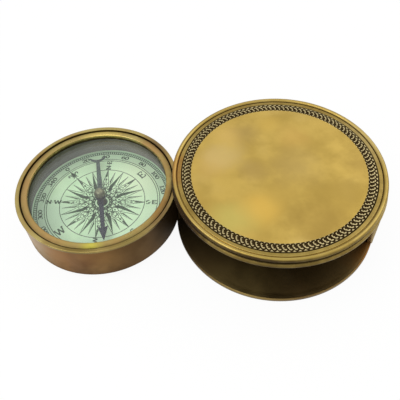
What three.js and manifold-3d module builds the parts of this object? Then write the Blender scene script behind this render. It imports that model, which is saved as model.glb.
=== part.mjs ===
// Swing-out pocket compass: a glazed brass compass that turns on a vertical pin
// out of a round brass case with an open front. Millimetres, +Z up. The origin is the
// centre of the case's round base, on its underside. The pin and the open compass lie
// towards -X, and the open side of the case faces -Y.
import * as THREE from 'three';
import { mergeVertices } from 'three/addons/utils/BufferGeometryUtils.js';
import Module from 'manifold-3d';

const wasm = await Module();
wasm.setup();

// Facets of the round pieces
const largeFacets = 60;
const smallFacets = 24;
const beadSteps = 5;

// Compass body
const compassRadius = 30.3;
const compassWall = 1.4;
const compassFloor = 1.2;
const compassEdgeRound = 0.5;
const dialSeatHeight = 1.25;
const dialSeatWidth = 1.5;
const dialFit = 0.2;
const dialPlateThickness = 0.95;
const dialCardThickness = 0.3;
const dialCardInset = 0.3;
const linerThickness = 1.5;
const linerFit = 0.2;
const gasketThickness = 0.3;
const gasketWidth = 1.5;
const crystalThickness = 1.6;
const crystalBevel = 0.3;
const crystalFit = 0.2;

// Compass rim and the ring that holds the glass down
const rimRingHeight = 1.1;
const rimOverhang = 0.3;
const rimEdgeRound = 0.3;
const rimProud = 0.3;
const rimBoreOffset = 0.15;
const retainingHeight = 2.15;
const retainingWidth = 2.55;
const retainingStep = 0.2;
const retainingStepHeight = 0.5;
const retainingEdge = 0.3;
const retainingInnerEdge = 0.5;
const retainingFall = 0.65;
const retainingFit = 0.2;

// Needle and its bearing
const needleHeading = -77;
const needleHalfLength = 20.9;
const needleThickness = 0.35;
const needleShaftWidth = 1.45;
const needleWaistWidth = 2;
const arrowLength = 6;
const arrowWidth = 3.5;
const arrowBarb = 0.5;
const crescentRadius = 2.65;
const crescentThickness = 0.55;
const hornAngle = 85;
const hubRadius = 1.95;
const hubFootRadius = 1.5;
const hubNeckRadius = 1.2;
const hubBoreRadius = 0.85;
const hubFlangeRadius = 1.9;
const hubFlangeThickness = 0.4;
const hubDomeHeight = 3.4;
const hubTipRadius = 0.8;
const hubSkirtHeight = 1.7;
const hubCrownThickness = 0.75;
const neckFit = 0.05;
const jewelHeight = 0.9;
const jewelCupRadius = 0.45;
const jewelCupDepth = 0.6;
const jewelFit = 0.05;
const postStemRadius = 0.8;
const postStemFit = 0.1;
const postFlangeRadius = 1.6;
const postFlangeThickness = 0.5;
const postConeHeight = 0.65;
const postTopRadius = 0.95;
const pointRadius = 0.35;
const pointFit = 0.07;
const pointSocketDepth = 0.8;
const pointHeight = 5.75;
const pointConeHeight = 1;
const pointTipRadius = 0.05;
const pointSeatGap = 0.25;
const needleHeadroom = 0.8;

// Pivot that the compass swings on
const pinRadius = 1.5;
const pinFit = 0.1;
const pinHoleFit = 0.15;
const pinHeadRadius = 2.6;
const pinHeadRecess = 0.1;
const pinHeadDepth = 1.1;
const pinTopGap = 0.3;
const washerThickness = 0.4;
const washerRadius = 3;
const springWasherThickness = 0.4;
const spacerRadius = 2.5;
const spacerClearance = 0.6;
const swingPlay = 0.1;
const knuckleRadius = 3.1;
const knuckleFlare = 2.2;
const knuckleJoint = 0.3;
const knuckleRimGap = 0.3;

// Round case
const plateThickness = 1.6;
const plateEdgeRound = 0.4;
const wallThickness = 2;
const wallOverhang = 0.3;
const wallFrontAngle = -21.5;
const wallBackAngle = 160;
const closedClearance = 5.7;
const overheadClearance = 5;

// Lid
const lowerBeadRadius = 0.95;
const lowerBeadOverhang = 0.4;
const upperBeadRadius = 0.85;
const lowerBeadTo = 75;
const upperBeadFrom = -75;
const upperBeadTo = 150;
const beadWaistInset = 1.1;
const beadWaistHeight = 0.75;
const topGrooveWidth = 0.25;
const topGrooveDepth = 0.85;
const innerBandWidth = 1.35;
const innerBandDrop = 0.55;
const innerBandCrown = 0.2;
const lidPlateThickness = 1.8;
const lidPlateDrop = 0.6;
const lidPlateFit = 0.15;
const lidLedgeMargin = 1;
const ropeBandInset = 0.2;
const ropeBandWidth = 3.2;
const ropeBandDepth = 0.25;

// Places inside the compass, as heights above its own underside
const dialSeatZ = compassFloor + dialSeatHeight;
const cardZ = dialSeatZ + dialPlateThickness;
const dialZ = cardZ + dialCardThickness;
const pointTipZ = dialZ + pointHeight;
const jewelZ = pointTipZ - jewelCupDepth + pointSeatGap;
const jewelTopZ = jewelZ + jewelHeight;
const hubTopZ = jewelTopZ + hubCrownThickness;
const hubDomeZ = hubTopZ - hubDomeHeight;
const bladeZ = hubDomeZ - needleThickness;
const hubBottomZ = bladeZ - hubFlangeThickness;
const gasketZ = hubTopZ + needleHeadroom - gasketThickness;
const crystalZ = gasketZ + gasketThickness;
const retainingZ = crystalZ + crystalThickness;
const rimTopZ = retainingZ + retainingHeight + rimProud;
const cupTopZ = rimTopZ - rimRingHeight;
const knuckleTopZ = cupTopZ - knuckleRimGap;

// Radii inside the compass
const cupBore = compassRadius - compassWall;
const rimOuterRadius = compassRadius + rimOverhang;
const rimBore = cupBore + rimBoreOffset;

// Places in the whole object
const pivotOffset = rimOuterRadius + spacerClearance + spacerRadius;
const compassZ = plateThickness + washerThickness + swingPlay;
const springWasherZ = compassZ + knuckleTopZ + swingPlay;
const spacerZ = springWasherZ + springWasherThickness;
const lidZ = compassZ + rimTopZ + overheadClearance;
const lidRimHeight = 2 * lowerBeadRadius + beadWaistHeight + 2 * upperBeadRadius;
const lidTopZ = lidZ + lidRimHeight;
const wallInnerRadius = rimOuterRadius + closedClearance;
const wallOuterRadius = wallInnerRadius + wallThickness;
const caseRadius = wallOuterRadius - wallOverhang;
const topGrooveRadius = caseRadius - 2 * upperBeadRadius;
const lidSeatRadius = topGrooveRadius - topGrooveWidth - innerBandWidth;
const ledgeZ = lidTopZ - lidPlateDrop - lidPlateThickness;
const ledgeInnerRadius = pivotOffset - pinRadius - pinHoleFit - lidLedgeMargin;

// Colours and finishes
const finishes = {
  lidBrass: { color: 0xc4a64e, roughness: 0.36, metalness: 0.9 },
  agedBrass: { color: 0x8b6a3a, roughness: 0.45, metalness: 0.85 },
  rimBrass: { color: 0xb89452, roughness: 0.36, metalness: 0.9 },
  bluedSteel: { color: 0x2b2f38, roughness: 0.35, metalness: 0.9 },
  steel: { color: 0xb4b4b0, roughness: 0.3, metalness: 0.95 },
  glass: { color: 0xe6efe8, roughness: 0.05, metalness: 0, transparent: true, opacity: 0.3 },
  rubber: { color: 0x2a2a28, roughness: 0.85, metalness: 0 },
  greyPaint: { color: 0x8d9488, roughness: 0.7, metalness: 0.1 },
  dialPrint: { color: 0xb9d8ae, roughness: 0.75, metalness: 0 },
  jewel: { color: 0x7c2b3a, roughness: 0.2, metalness: 0 },
};

function radians(degrees) {
  return degrees * Math.PI / 180;
}

// Points of an arc in a profile plane, both ends included
function arc(centreX, centreY, radius, fromDegrees, toDegrees, steps) {
  const points = [];
  for (let i = 0; i <= steps; i += 1) {
    const angle = radians(fromDegrees + (toDegrees - fromDegrees) * i / steps);
    points.push([centreX + radius * Math.cos(angle), centreY + radius * Math.sin(angle)]);
  }
  return points;
}

// Keep shared corners once and drop the slivers left at an axis
function weld(geometry) {
  geometry.deleteAttribute('normal');
  geometry.deleteAttribute('uv');
  const merged = mergeVertices(geometry, 1e-4);
  const corners = merged.index.array;
  const kept = [];
  for (let i = 0; i < corners.length; i += 3) {
    const [a, b, c] = [corners[i], corners[i + 1], corners[i + 2]];
    if (a !== b && b !== c && c !== a) kept.push(a, b, c);
  }
  merged.setIndex(kept);
  return merged;
}

// Six times the signed volume, positive when the faces point outwards
function signedVolume(geometry) {
  const position = geometry.attributes.position;
  const [a, b, c] = [new THREE.Vector3(), new THREE.Vector3(), new THREE.Vector3()];
  const corners = geometry.index.array;
  let volume = 0;
  for (let i = 0; i < corners.length; i += 3) {
    a.fromBufferAttribute(position, corners[i]);
    b.fromBufferAttribute(position, corners[i + 1]);
    c.fromBufferAttribute(position, corners[i + 2]);
    volume += a.dot(b.cross(c));
  }
  return volume;
}

function faceOutwards(geometry) {
  if (signedVolume(geometry) > 0) return geometry;
  const corners = geometry.index.array;
  const flipped = [];
  for (let i = 0; i < corners.length; i += 3) {
    flipped.push(corners[i], corners[i + 2], corners[i + 1]);
  }
  geometry.setIndex(flipped);
  return geometry;
}

// A solid turned about +Z from a profile of [radius, height] points
function turned(profile, facets) {
  const points = profile.map(([radius, height]) => new THREE.Vector2(radius, height));
  const geometry = new THREE.LatheGeometry(points, facets);
  geometry.rotateX(Math.PI / 2);
  return faceOutwards(weld(geometry));
}

// A turned ring, whose profile closes on itself
function turnedRing(profile, facets) {
  return turned([...profile, profile[0]], facets);
}

// A plain ring or disc-shaped ring of one rectangle
function plainRing(innerRadius, outerRadius, bottom, top, facets) {
  return turnedRing([
    [innerRadius, bottom],
    [outerRadius, bottom],
    [outerRadius, top],
    [innerRadius, top],
  ], facets);
}

// An outline in X and Y raised from one height to another
function raised(shape, bottom, top, curveSegments) {
  const geometry = new THREE.ExtrudeGeometry(shape, {
    depth: top - bottom,
    bevelEnabled: false,
    curveSegments,
  });
  geometry.translate(0, 0, bottom);
  return faceOutwards(weld(geometry));
}

function toManifold(geometry) {
  return new wasm.Manifold(new wasm.Mesh({
    numProp: 3,
    vertProperties: new Float32Array(geometry.attributes.position.array),
    triVerts: new Uint32Array(geometry.index.array),
  }));
}

function fromManifold(solid) {
  const mesh = solid.getMesh();
  const geometry = new THREE.BufferGeometry();
  geometry.setAttribute('position', new THREE.BufferAttribute(mesh.vertProperties, 3));
  geometry.setIndex(new THREE.BufferAttribute(mesh.triVerts, 1));
  return geometry;
}

// A solid with another one cut out of it
function cut(geometry, tool) {
  return fromManifold(toManifold(geometry).subtract(toManifold(tool)));
}

function piece(name, geometry, finish) {
  geometry.computeVertexNormals();
  const mesh = new THREE.Mesh(geometry, new THREE.MeshStandardMaterial(finishes[finish]));
  mesh.name = name;
  return mesh;
}

// Round base with a rounded edge and a countersunk hole for the pin's head
function bottomPlate() {
  const round = plateEdgeRound;
  const disc = turned([
    [0, 0],
    ...arc(caseRadius - round, round, round, -90, 0, 3),
    ...arc(caseRadius - round, plateThickness - round, round, 0, 90, 3),
    [0, plateThickness],
  ], largeFacets);
  const holeRadius = pinRadius + pinHoleFit;
  const countersink = turned([
    [0, -plateThickness],
    [pinHeadRadius + pinHoleFit, -plateThickness],
    [pinHeadRadius + pinHoleFit, pinHeadRecess],
    [holeRadius, pinHeadDepth],
    [holeRadius, 2 * plateThickness],
    [0, 2 * plateThickness],
  ], smallFacets);
  countersink.translate(-pivotOffset, 0, 0);
  return piece('bottom_plate', cut(disc, countersink), 'agedBrass');
}

// Curved wall round the back and right side, open at the front and the left
function caseWall() {
  const shape = new THREE.Shape();
  const [from, to] = [radians(wallFrontAngle), radians(wallBackAngle)];
  shape.absarc(0, 0, wallOuterRadius, from, to, false);
  shape.absarc(0, 0, wallInnerRadius, to, from, true);
  return piece('case_wall', raised(shape, plateThickness, lidZ, largeFacets / 2), 'agedBrass');
}

// Outer side of the lid: a full lower bead, a waist and an upper bead
function lidBeads() {
  const lowerCentre = caseRadius + lowerBeadOverhang - lowerBeadRadius;
  const upperCentre = caseRadius - upperBeadRadius;
  const waistRadius = caseRadius - beadWaistInset;
  const upperZ = lidTopZ - upperBeadRadius;
  const waistTop = upperZ - upperBeadRadius;
  return [
    ...arc(lowerCentre, lidZ + lowerBeadRadius, lowerBeadRadius, -90, lowerBeadTo, beadSteps),
    [waistRadius, waistTop - beadWaistHeight],
    [waistRadius, waistTop],
    ...arc(upperCentre, upperZ, upperBeadRadius, upperBeadFrom, upperBeadTo, beadSteps + 1),
  ];
}

// Beaded ring of the lid, with a ledge that the lid plate lies on
function lidRim() {
  const grooveFloor = lidTopZ - topGrooveDepth;
  const bandOuter = topGrooveRadius - topGrooveWidth;
  const bandZ = lidTopZ - innerBandDrop;
  const ring = turnedRing([
    [ledgeInnerRadius, lidZ],
    ...lidBeads(),
    [topGrooveRadius, grooveFloor],
    [bandOuter, grooveFloor],
    [bandOuter, bandZ - innerBandCrown],
    [bandOuter - innerBandCrown, bandZ],
    [lidSeatRadius + innerBandCrown, bandZ],
    [lidSeatRadius, bandZ - innerBandCrown],
    [lidSeatRadius, ledgeZ],
    [ledgeInnerRadius, ledgeZ],
  ], largeFacets);
  const holeTop = ledgeZ + pinHoleFit;
  const hole = turned([
    [0, lidZ - lidRimHeight],
    [pinRadius + pinHoleFit, lidZ - lidRimHeight],
    [pinRadius + pinHoleFit, holeTop],
    [0, holeTop],
  ], smallFacets);
  hole.translate(-pivotOffset, 0, 0);
  return piece('lid_rim', cut(ring, hole), 'lidBrass');
}

// Flat lid plate with the sunk band that carries the rope border
function lidPlate() {
  const outer = lidSeatRadius - lidPlateFit;
  const top = lidTopZ - lidPlateDrop;
  const bandOuter = outer - ropeBandInset;
  const bandInner = bandOuter - ropeBandWidth;
  const plate = turned([
    [0, ledgeZ],
    [outer, ledgeZ],
    [outer, top],
    [bandOuter, top],
    [bandOuter, top - ropeBandDepth],
    [bandInner, top - ropeBandDepth],
    [bandInner, top],
    [0, top],
  ], largeFacets);
  return piece('lid_plate', plate, 'lidBrass');
}

// Pin with a flat head sunk in the base and its top end in the lid's ledge
function pivotPin() {
  const pin = turned([
    [0, pinHeadRecess],
    [pinHeadRadius, pinHeadRecess],
    [pinRadius, pinHeadDepth],
    [pinRadius, ledgeZ - pinTopGap],
    [0, ledgeZ - pinTopGap],
  ], smallFacets);
  return piece('pivot_pin', pin, 'steel');
}

function pivotSleeve(name, radius, bottom, top, finish) {
  const bore = pinRadius + pinFit;
  return piece(name, plainRing(bore, radius, bottom, top, smallFacets), finish);
}

// Everything threaded on the pin between the base and the lid
function pivot() {
  const group = new THREE.Group();
  const washerTop = plateThickness + washerThickness;
  group.add(
    pivotPin(),
    pivotSleeve('pivot_washer', washerRadius, plateThickness, washerTop, 'agedBrass'),
    pivotSleeve('spring_washer', spacerRadius, springWasherZ, spacerZ, 'steel'),
    pivotSleeve('pivot_spacer', spacerRadius, spacerZ, lidZ, 'agedBrass'),
  );
  group.position.x = -pivotOffset;
  return group;
}

// Round cup with a step inside that the dial plate lies on
function compassCase() {
  const seatInner = cupBore - dialSeatWidth;
  const round = compassEdgeRound;
  const cup = turned([
    [0, 0],
    ...arc(compassRadius - round, round, round, -90, 0, 3),
    [compassRadius, cupTopZ],
    [cupBore, cupTopZ],
    [cupBore, dialSeatZ],
    [seatInner, dialSeatZ],
    [seatInner, compassFloor],
    [0, compassFloor],
  ], largeFacets);
  return piece('compass_case', cup, 'agedBrass');
}

// Flat ring on top of the cup, rounded at its edges
function rimRing() {
  const round = rimEdgeRound;
  const ring = turnedRing([
    [rimBore, cupTopZ],
    ...arc(rimOuterRadius - round, cupTopZ + round, round, -90, 0, 3),
    ...arc(rimOuterRadius - round, rimTopZ - round, round, 0, 90, 3),
    ...arc(rimBore + round, rimTopZ - round, round, 90, 180, 3),
  ], largeFacets);
  return piece('rim_ring', ring, 'rimBrass');
}

// Ring that holds the glass down, falling outwards to a groove inside the rim ring
function retainingRing() {
  const outer = cupBore - retainingFit;
  const inner = outer - retainingWidth;
  const top = retainingZ + retainingHeight;
  const shoulder = outer - retainingStep;
  const shoulderZ = top - retainingFall;
  const edge = retainingEdge;
  const innerEdge = retainingInnerEdge;
  const ring = turnedRing([
    [inner, retainingZ],
    [outer, retainingZ],
    [outer, retainingZ + retainingStepHeight],
    [shoulder, retainingZ + retainingStepHeight],
    ...arc(shoulder - edge, shoulderZ - edge, edge, 0, 75, 3),
    ...arc(inner + innerEdge, top - innerEdge, innerEdge, 75, 180, 4),
  ], largeFacets);
  return piece('retaining_ring', ring, 'rimBrass');
}

// Flat glass with a bevelled top edge
function crystal() {
  const outer = cupBore - crystalFit;
  const disc = turned([
    [0, crystalZ],
    [outer, crystalZ],
    [outer, retainingZ - crystalBevel],
    [outer - crystalBevel, retainingZ],
    [0, retainingZ],
  ], largeFacets);
  return piece('crystal', disc, 'glass');
}

function glassGasket() {
  const outer = cupBore - crystalFit;
  const ring = plainRing(outer - gasketWidth, outer, gasketZ, crystalZ, largeFacets);
  return piece('glass_gasket', ring, 'rubber');
}

// Painted ring that stands on the dial and carries the glass
function linerRing() {
  const outer = cupBore - linerFit;
  const ring = plainRing(outer - linerThickness, outer, dialZ, gasketZ, largeFacets);
  return piece('liner_ring', ring, 'greyPaint');
}

function dialPlate() {
  const outer = cupBore - dialFit;
  const bore = postStemRadius + postStemFit;
  return piece('dial_plate', plainRing(bore, outer, dialSeatZ, cardZ, largeFacets), 'agedBrass');
}

function dialCard() {
  const outer = cupBore - dialFit - dialCardInset;
  const bore = postStemRadius + postStemFit;
  return piece('dial_card', plainRing(bore, outer, cardZ, dialZ, largeFacets), 'dialPrint');
}

// Post through the dial, with a socket for the steel point
function needlePost() {
  const flangeTop = dialZ + postFlangeThickness;
  const postTop = flangeTop + postConeHeight;
  const socket = pointRadius + pointFit;
  const post = turned([
    [0, dialSeatZ],
    [postStemRadius, dialSeatZ],
    [postStemRadius, dialZ],
    [postFlangeRadius, dialZ],
    [postFlangeRadius, flangeTop],
    [postTopRadius, postTop],
    [socket, postTop],
    [socket, postTop - pointSocketDepth],
    [0, postTop - pointSocketDepth],
  ], smallFacets);
  return piece('needle_post', post, 'rimBrass');
}

function needlePoint() {
  const foot = dialZ + postFlangeThickness + postConeHeight - pointSocketDepth;
  const point = turned([
    [0, foot],
    [pointRadius, foot],
    [pointRadius, pointTipZ - pointConeHeight],
    [pointTipRadius, pointTipZ],
    [0, pointTipZ],
  ], smallFacets);
  return piece('needle_point', point, 'steel');
}

// Outline of the needle, arrow towards +X and crescent towards -X
function needleShape() {
  const shape = new THREE.Shape();
  const [shaft, waist] = [needleShaftWidth / 2, needleWaistWidth / 2];
  const arrowRoot = needleHalfLength - arrowLength;
  const horn = radians(hornAngle);
  const crescentX = -needleHalfLength - crescentRadius * Math.cos(horn);
  const innerX = crescentX - crescentThickness;
  const innerHorn = Math.acos(Math.cos(horn) + crescentThickness / crescentRadius);
  const shaftAngle = Math.asin(shaft / crescentRadius);
  shape.moveTo(arrowRoot - arrowBarb, arrowWidth / 2);
  shape.lineTo(arrowRoot, shaft);
  shape.lineTo(hubNeckRadius, waist);
  shape.lineTo(-hubNeckRadius, waist);
  shape.lineTo(crescentX + crescentRadius * Math.cos(shaftAngle), shaft);
  shape.absarc(crescentX, 0, crescentRadius, shaftAngle, horn, false);
  shape.absarc(innerX, 0, crescentRadius, innerHorn, -innerHorn, true);
  shape.absarc(crescentX, 0, crescentRadius, -horn, -shaftAngle, false);
  shape.lineTo(-hubNeckRadius, -waist);
  shape.lineTo(hubNeckRadius, -waist);
  shape.lineTo(arrowRoot, -shaft);
  shape.lineTo(arrowRoot - arrowBarb, -arrowWidth / 2);
  shape.lineTo(needleHalfLength, 0);
  shape.closePath();
  return shape;
}

function needleBlade() {
  const shape = needleShape();
  const eye = new THREE.Shape();
  eye.absarc(0, 0, hubFlangeRadius, 0, 2 * Math.PI, false);
  const [below, above] = [bladeZ - needleThickness, bladeZ + 2 * needleThickness];
  const blade = toManifold(raised(shape, bladeZ, hubDomeZ, smallFacets / 2));
  const ring = toManifold(raised(eye, bladeZ, hubDomeZ, smallFacets));
  const bore = new THREE.Shape();
  bore.absarc(0, 0, hubNeckRadius + neckFit, 0, 2 * Math.PI, false);
  const hole = toManifold(raised(bore, below, above, smallFacets));
  return piece('needle_blade', fromManifold(blade.add(ring).subtract(hole)), 'bluedSteel');
}

// Turned cap that grips the blade and holds the jewel
function needleHub() {
  const hub = turned([
    [0, jewelTopZ],
    [hubBoreRadius, jewelTopZ],
    [hubBoreRadius, hubBottomZ],
    [hubFlangeRadius, hubBottomZ],
    [hubFlangeRadius, bladeZ],
    [hubNeckRadius, bladeZ],
    [hubNeckRadius, hubDomeZ],
    [hubFootRadius, hubDomeZ],
    [hubRadius, hubDomeZ + hubSkirtHeight],
    [hubTipRadius + (hubRadius - hubTipRadius) / 3, hubTopZ - hubTipRadius],
    [hubTipRadius, hubTopZ],
    [0, hubTopZ],
  ], smallFacets);
  return piece('needle_hub', hub, 'rimBrass');
}

function needleJewel() {
  const jewel = turned([
    [0, jewelZ + jewelCupDepth],
    [jewelCupRadius, jewelZ],
    [hubBoreRadius - jewelFit, jewelZ],
    [hubBoreRadius - jewelFit, jewelTopZ],
    [0, jewelTopZ],
  ], smallFacets);
  return piece('needle_jewel', jewel, 'jewel');
}

function needle() {
  const group = new THREE.Group();
  group.add(needleBlade(), needleHub(), needleJewel());
  group.rotation.z = radians(needleHeading);
  return group;
}

// Knuckle that joins the compass to the pin, hollowed to the compass's round side
function hingeKnuckle() {
  const halfWidth = knuckleRadius + knuckleFlare;
  const rootX = compassRadius - compassWall;
  const shape = new THREE.Shape();
  shape.moveTo(rootX, -halfWidth);
  shape.lineTo(pivotOffset, -knuckleRadius);
  shape.absarc(pivotOffset, 0, knuckleRadius, -Math.PI / 2, Math.PI / 2, false);
  shape.lineTo(rootX, halfWidth);
  shape.closePath();
  const block = raised(shape, 0, knuckleTopZ, smallFacets / 2);
  const hollow = turned([
    [0, -compassFloor],
    [compassRadius + knuckleJoint, -compassFloor],
    [compassRadius + knuckleJoint, cupTopZ],
    [0, cupTopZ],
  ], largeFacets);
  const bore = turned([
    [0, -compassFloor],
    [pinRadius + pinFit, -compassFloor],
    [pinRadius + pinFit, cupTopZ],
    [0, cupTopZ],
  ], smallFacets);
  bore.translate(pivotOffset, 0, 0);
  return piece('hinge_knuckle', cut(cut(block, hollow), bore), 'agedBrass');
}

// The glazed compass, built about its own centre
function compass() {
  const group = new THREE.Group();
  group.add(
    compassCase(),
    rimRing(),
    retainingRing(),
    crystal(),
    glassGasket(),
    linerRing(),
    dialPlate(),
    dialCard(),
    needlePost(),
    needlePoint(),
    needle(),
    hingeKnuckle(),
  );
  group.position.set(-2 * pivotOffset, 0, compassZ);
  return group;
}

const foldingCompass = new THREE.Group();
foldingCompass.add(bottomPlate(), caseWall(), lidRim(), lidPlate(), pivot(), compass());

export default foldingCompass;
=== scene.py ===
"""A brass folding compass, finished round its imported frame.

The turned brass pieces are spun smooth over the frame's solids, the dial is printed in raised
ink, and the lid has a chased rope border. Every size is in metres, in the frame's own axes.
"""

import math

import bmesh
import bpy
from mathutils import Matrix, Vector


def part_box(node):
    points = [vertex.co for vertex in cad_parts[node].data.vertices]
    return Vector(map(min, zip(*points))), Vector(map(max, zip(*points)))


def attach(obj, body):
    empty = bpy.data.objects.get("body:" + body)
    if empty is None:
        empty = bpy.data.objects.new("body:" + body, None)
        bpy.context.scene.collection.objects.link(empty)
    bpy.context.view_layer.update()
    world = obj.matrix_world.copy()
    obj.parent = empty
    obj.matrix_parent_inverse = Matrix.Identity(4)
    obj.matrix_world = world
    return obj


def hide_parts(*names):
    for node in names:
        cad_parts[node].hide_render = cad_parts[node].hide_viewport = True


bl_info = {
    "name": "Folding compass",
    "version": (1, 0, 0),
    "blender": (4, 5, 0),
    "location": "View3D > Sidebar > Compass",
    "description": "Finishes a brass folding compass round its packed frame",
    "category": "Add Mesh",
}

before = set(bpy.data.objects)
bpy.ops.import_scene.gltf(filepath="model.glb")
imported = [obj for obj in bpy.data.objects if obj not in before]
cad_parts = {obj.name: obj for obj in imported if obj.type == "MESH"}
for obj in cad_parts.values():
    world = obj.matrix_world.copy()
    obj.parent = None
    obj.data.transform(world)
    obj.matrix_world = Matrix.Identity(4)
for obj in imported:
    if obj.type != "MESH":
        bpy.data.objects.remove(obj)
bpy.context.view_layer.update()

MM = 0.001
UP = Vector((0, 0, 1))
ORIGIN = Vector((0, 0, 0))

# Facets round a full turn, and within one rounded corner
LARGE_TURN = 240
SMALL_TURN = 64
CORNER_STEPS = 5
# Points closer than this are one point
WELD = 0.001 * MM
# Edges with a small chamfer, and edges that are only broken
SMALL_EDGE = 0.1 * MM
FINE_EDGE = 0.05 * MM
# Gaps round a pin that turns freely, and round one that is held
LOOSE_FIT = 0.1 * MM
CLOSE_FIT = 0.05 * MM
# A rounded corner takes at most this share of each edge beside it, and a short straight
# stretch next to it keeps the flat beyond flat where the edge has room for that
CORNER_SHARE = 0.48
STRETCH_SHARE = 0.49
SUPPORT = 0.04 * MM
SHARP_ANGLE = math.radians(32)
# Steeper than this, an edge of the needle's blade counts as square
SQUARE_ANGLE = math.radians(80)

# What the tone attribute says about a brass surface: how rubbed or oxidised it is, and in places
# painted light and shade
BRIGHT = -1.0
PLAIN = 0.0
DULL = 0.5
DARK = 1.0


def linear(code):
    """The linear colour of an sRGB hex value."""
    channels = [int(code[i : i + 2], 16) / 255 for i in (1, 3, 5)]
    return [c / 12.92 if c <= 0.04045 else ((c + 0.055) / 1.055) ** 2.4 for c in channels]


def length(label, description, millimetres):
    """A property for a length."""
    return bpy.props.FloatProperty(
        name=label,
        description=description,
        default=millimetres * MM,
        min=0.0,
        unit="LENGTH",
        subtype="DISTANCE",
        precision=5,
    )


def degrees(label, description, value):
    """A property for an angle."""
    return bpy.props.FloatProperty(
        name=label,
        description=description,
        default=math.radians(value),
        unit="ROTATION",
        subtype="ANGLE",
    )


def tint(label, description, code):
    """A property for a colour."""
    return bpy.props.FloatVectorProperty(
        name=label,
        description=description,
        default=linear(code),
        size=3,
        min=0.0,
        max=1.0,
        subtype="COLOR",
    )


def count(label, description, value):
    """A property for a whole number."""
    return bpy.props.IntProperty(name=label, description=description, default=value, min=1)


def share(label, description, value):
    """A property for a share or a strength."""
    return bpy.props.FloatProperty(
        name=label, description=description, default=value, min=0.0, subtype="FACTOR", soft_max=2.0
    )


class CaseSettings(bpy.types.PropertyGroup):
    """Sizes and colours of the brass case that stands on the table."""

    plate_edge: length("Plate edge", "Rounding of the base plate's edges", 0.4)
    # Width of each step from the plate's pale rim to its dark middle, painted light and shade
    plate_rub: length("Plate rub", "Width of the rubbed ring round the base plate", 0.9)
    wall_thickness: length("Wall", "Thickness of the curved wall", 2.0)
    wall_edge: length("Wall edge", "Rounding of the curved wall's edges", 0.2)
    wall_from: degrees("Wall start", "Where the curved wall starts, at the front right", -21.5)
    wall_to: degrees("Wall end", "Where the curved wall ends, behind the pin", 160)
    pin_head: length("Pin head", "Radius of the countersunk pin head", 2.6)
    pin_shank: length("Pin", "Radius of the hinge pin", 1.5)
    head_depth: length("Head depth", "Depth of the countersink", 1.1)
    # Also the colour of painted highlights: the wall's outside near its front end, and the plate's
    # rim
    pale: tint("Rubbed brass", "Where hands have kept the case bright", "#A8956A")
    body: tint("Aged brass", "The case's main colour", "#80693F")
    dull: tint("Brown patina", "Clouds of darker patina", "#6B5431")
    oxide: tint("Oxide", "Grime in corners and under edges", "#2C2518")
    # Painted shade round the hinge, where the case and the cup shade each other: where it is full,
    # and where it ends
    soot_near: length("Soot near", "Round the hinge, how far the dark patina is full", 10)
    soot_far: length("Soot far", "Round the hinge, where the dark patina ends", 46)


class LidSettings(bpy.types.PropertyGroup):
    """Sizes and colours of the lid."""

    lower_bead: length("Lower bead", "Radius of the lower bead", 0.95)
    upper_bead: length("Upper bead", "Radius of the upper bead", 0.85)
    lower_overhang: length("Lower overhang", "How far the lower bead stands past the plate", 0.4)
    waist_inset: length("Waist inset", "How deep the waist between the beads is", 1.1)
    waist_height: length("Waist height", "Height of the waist between the beads", 0.75)
    groove_width: length("Groove width", "Width of the groove on top", 0.25)
    groove_depth: length("Groove depth", "Depth of the groove on top", 0.85)
    band_width: length("Band width", "Width of the flat band inside the groove", 1.35)
    band_drop: length("Band drop", "How far the band lies under the upper bead", 0.55)
    band_round: length("Band rounding", "Rounding of the band's edges", 0.2)
    plate_edge: length("Lid plate edge", "Rounding of the lid plate's edge", 0.08)
    border_inset: length("Border inset", "From the lid plate's edge to the rope border", 0.2)
    border_width: length("Border width", "Width of the rope border", 3.2)
    border_depth: length("Border depth", "Depth of the rope border's ground", 0.25)
    link_round: length("Link rounding", "Rounding of the rope's strands", 0.06)
    links: count("Strands", "Strands of rope round the lid", 120)
    pale: tint("Rubbed brass", "Bright clouds and rubbed edges", "#DABF78")
    body: tint("Lid brass", "The lid's main colour", "#C9AA58")
    dull: tint("Olive patina", "Clouds of duller, greener brass", "#B5984C")
    oxide: tint("Oxide", "The dark ground of the border and the grooves", "#2E2114")
    # Also the colour of the painted light on the ring's lit right side and on its groove in front
    ring_pale: tint("Rubbed ring", "Rubbed tops of the ring's beads", "#C8B16C")
    ring: tint("Ring brass", "The ring's main colour", "#B59B54")
    ring_dull: tint("Ring patina", "Darker clouds on the ring", "#A48A46")
    rope: tint("Rope", "The chased rope's greyer brass", "#BDAD7E")


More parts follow.
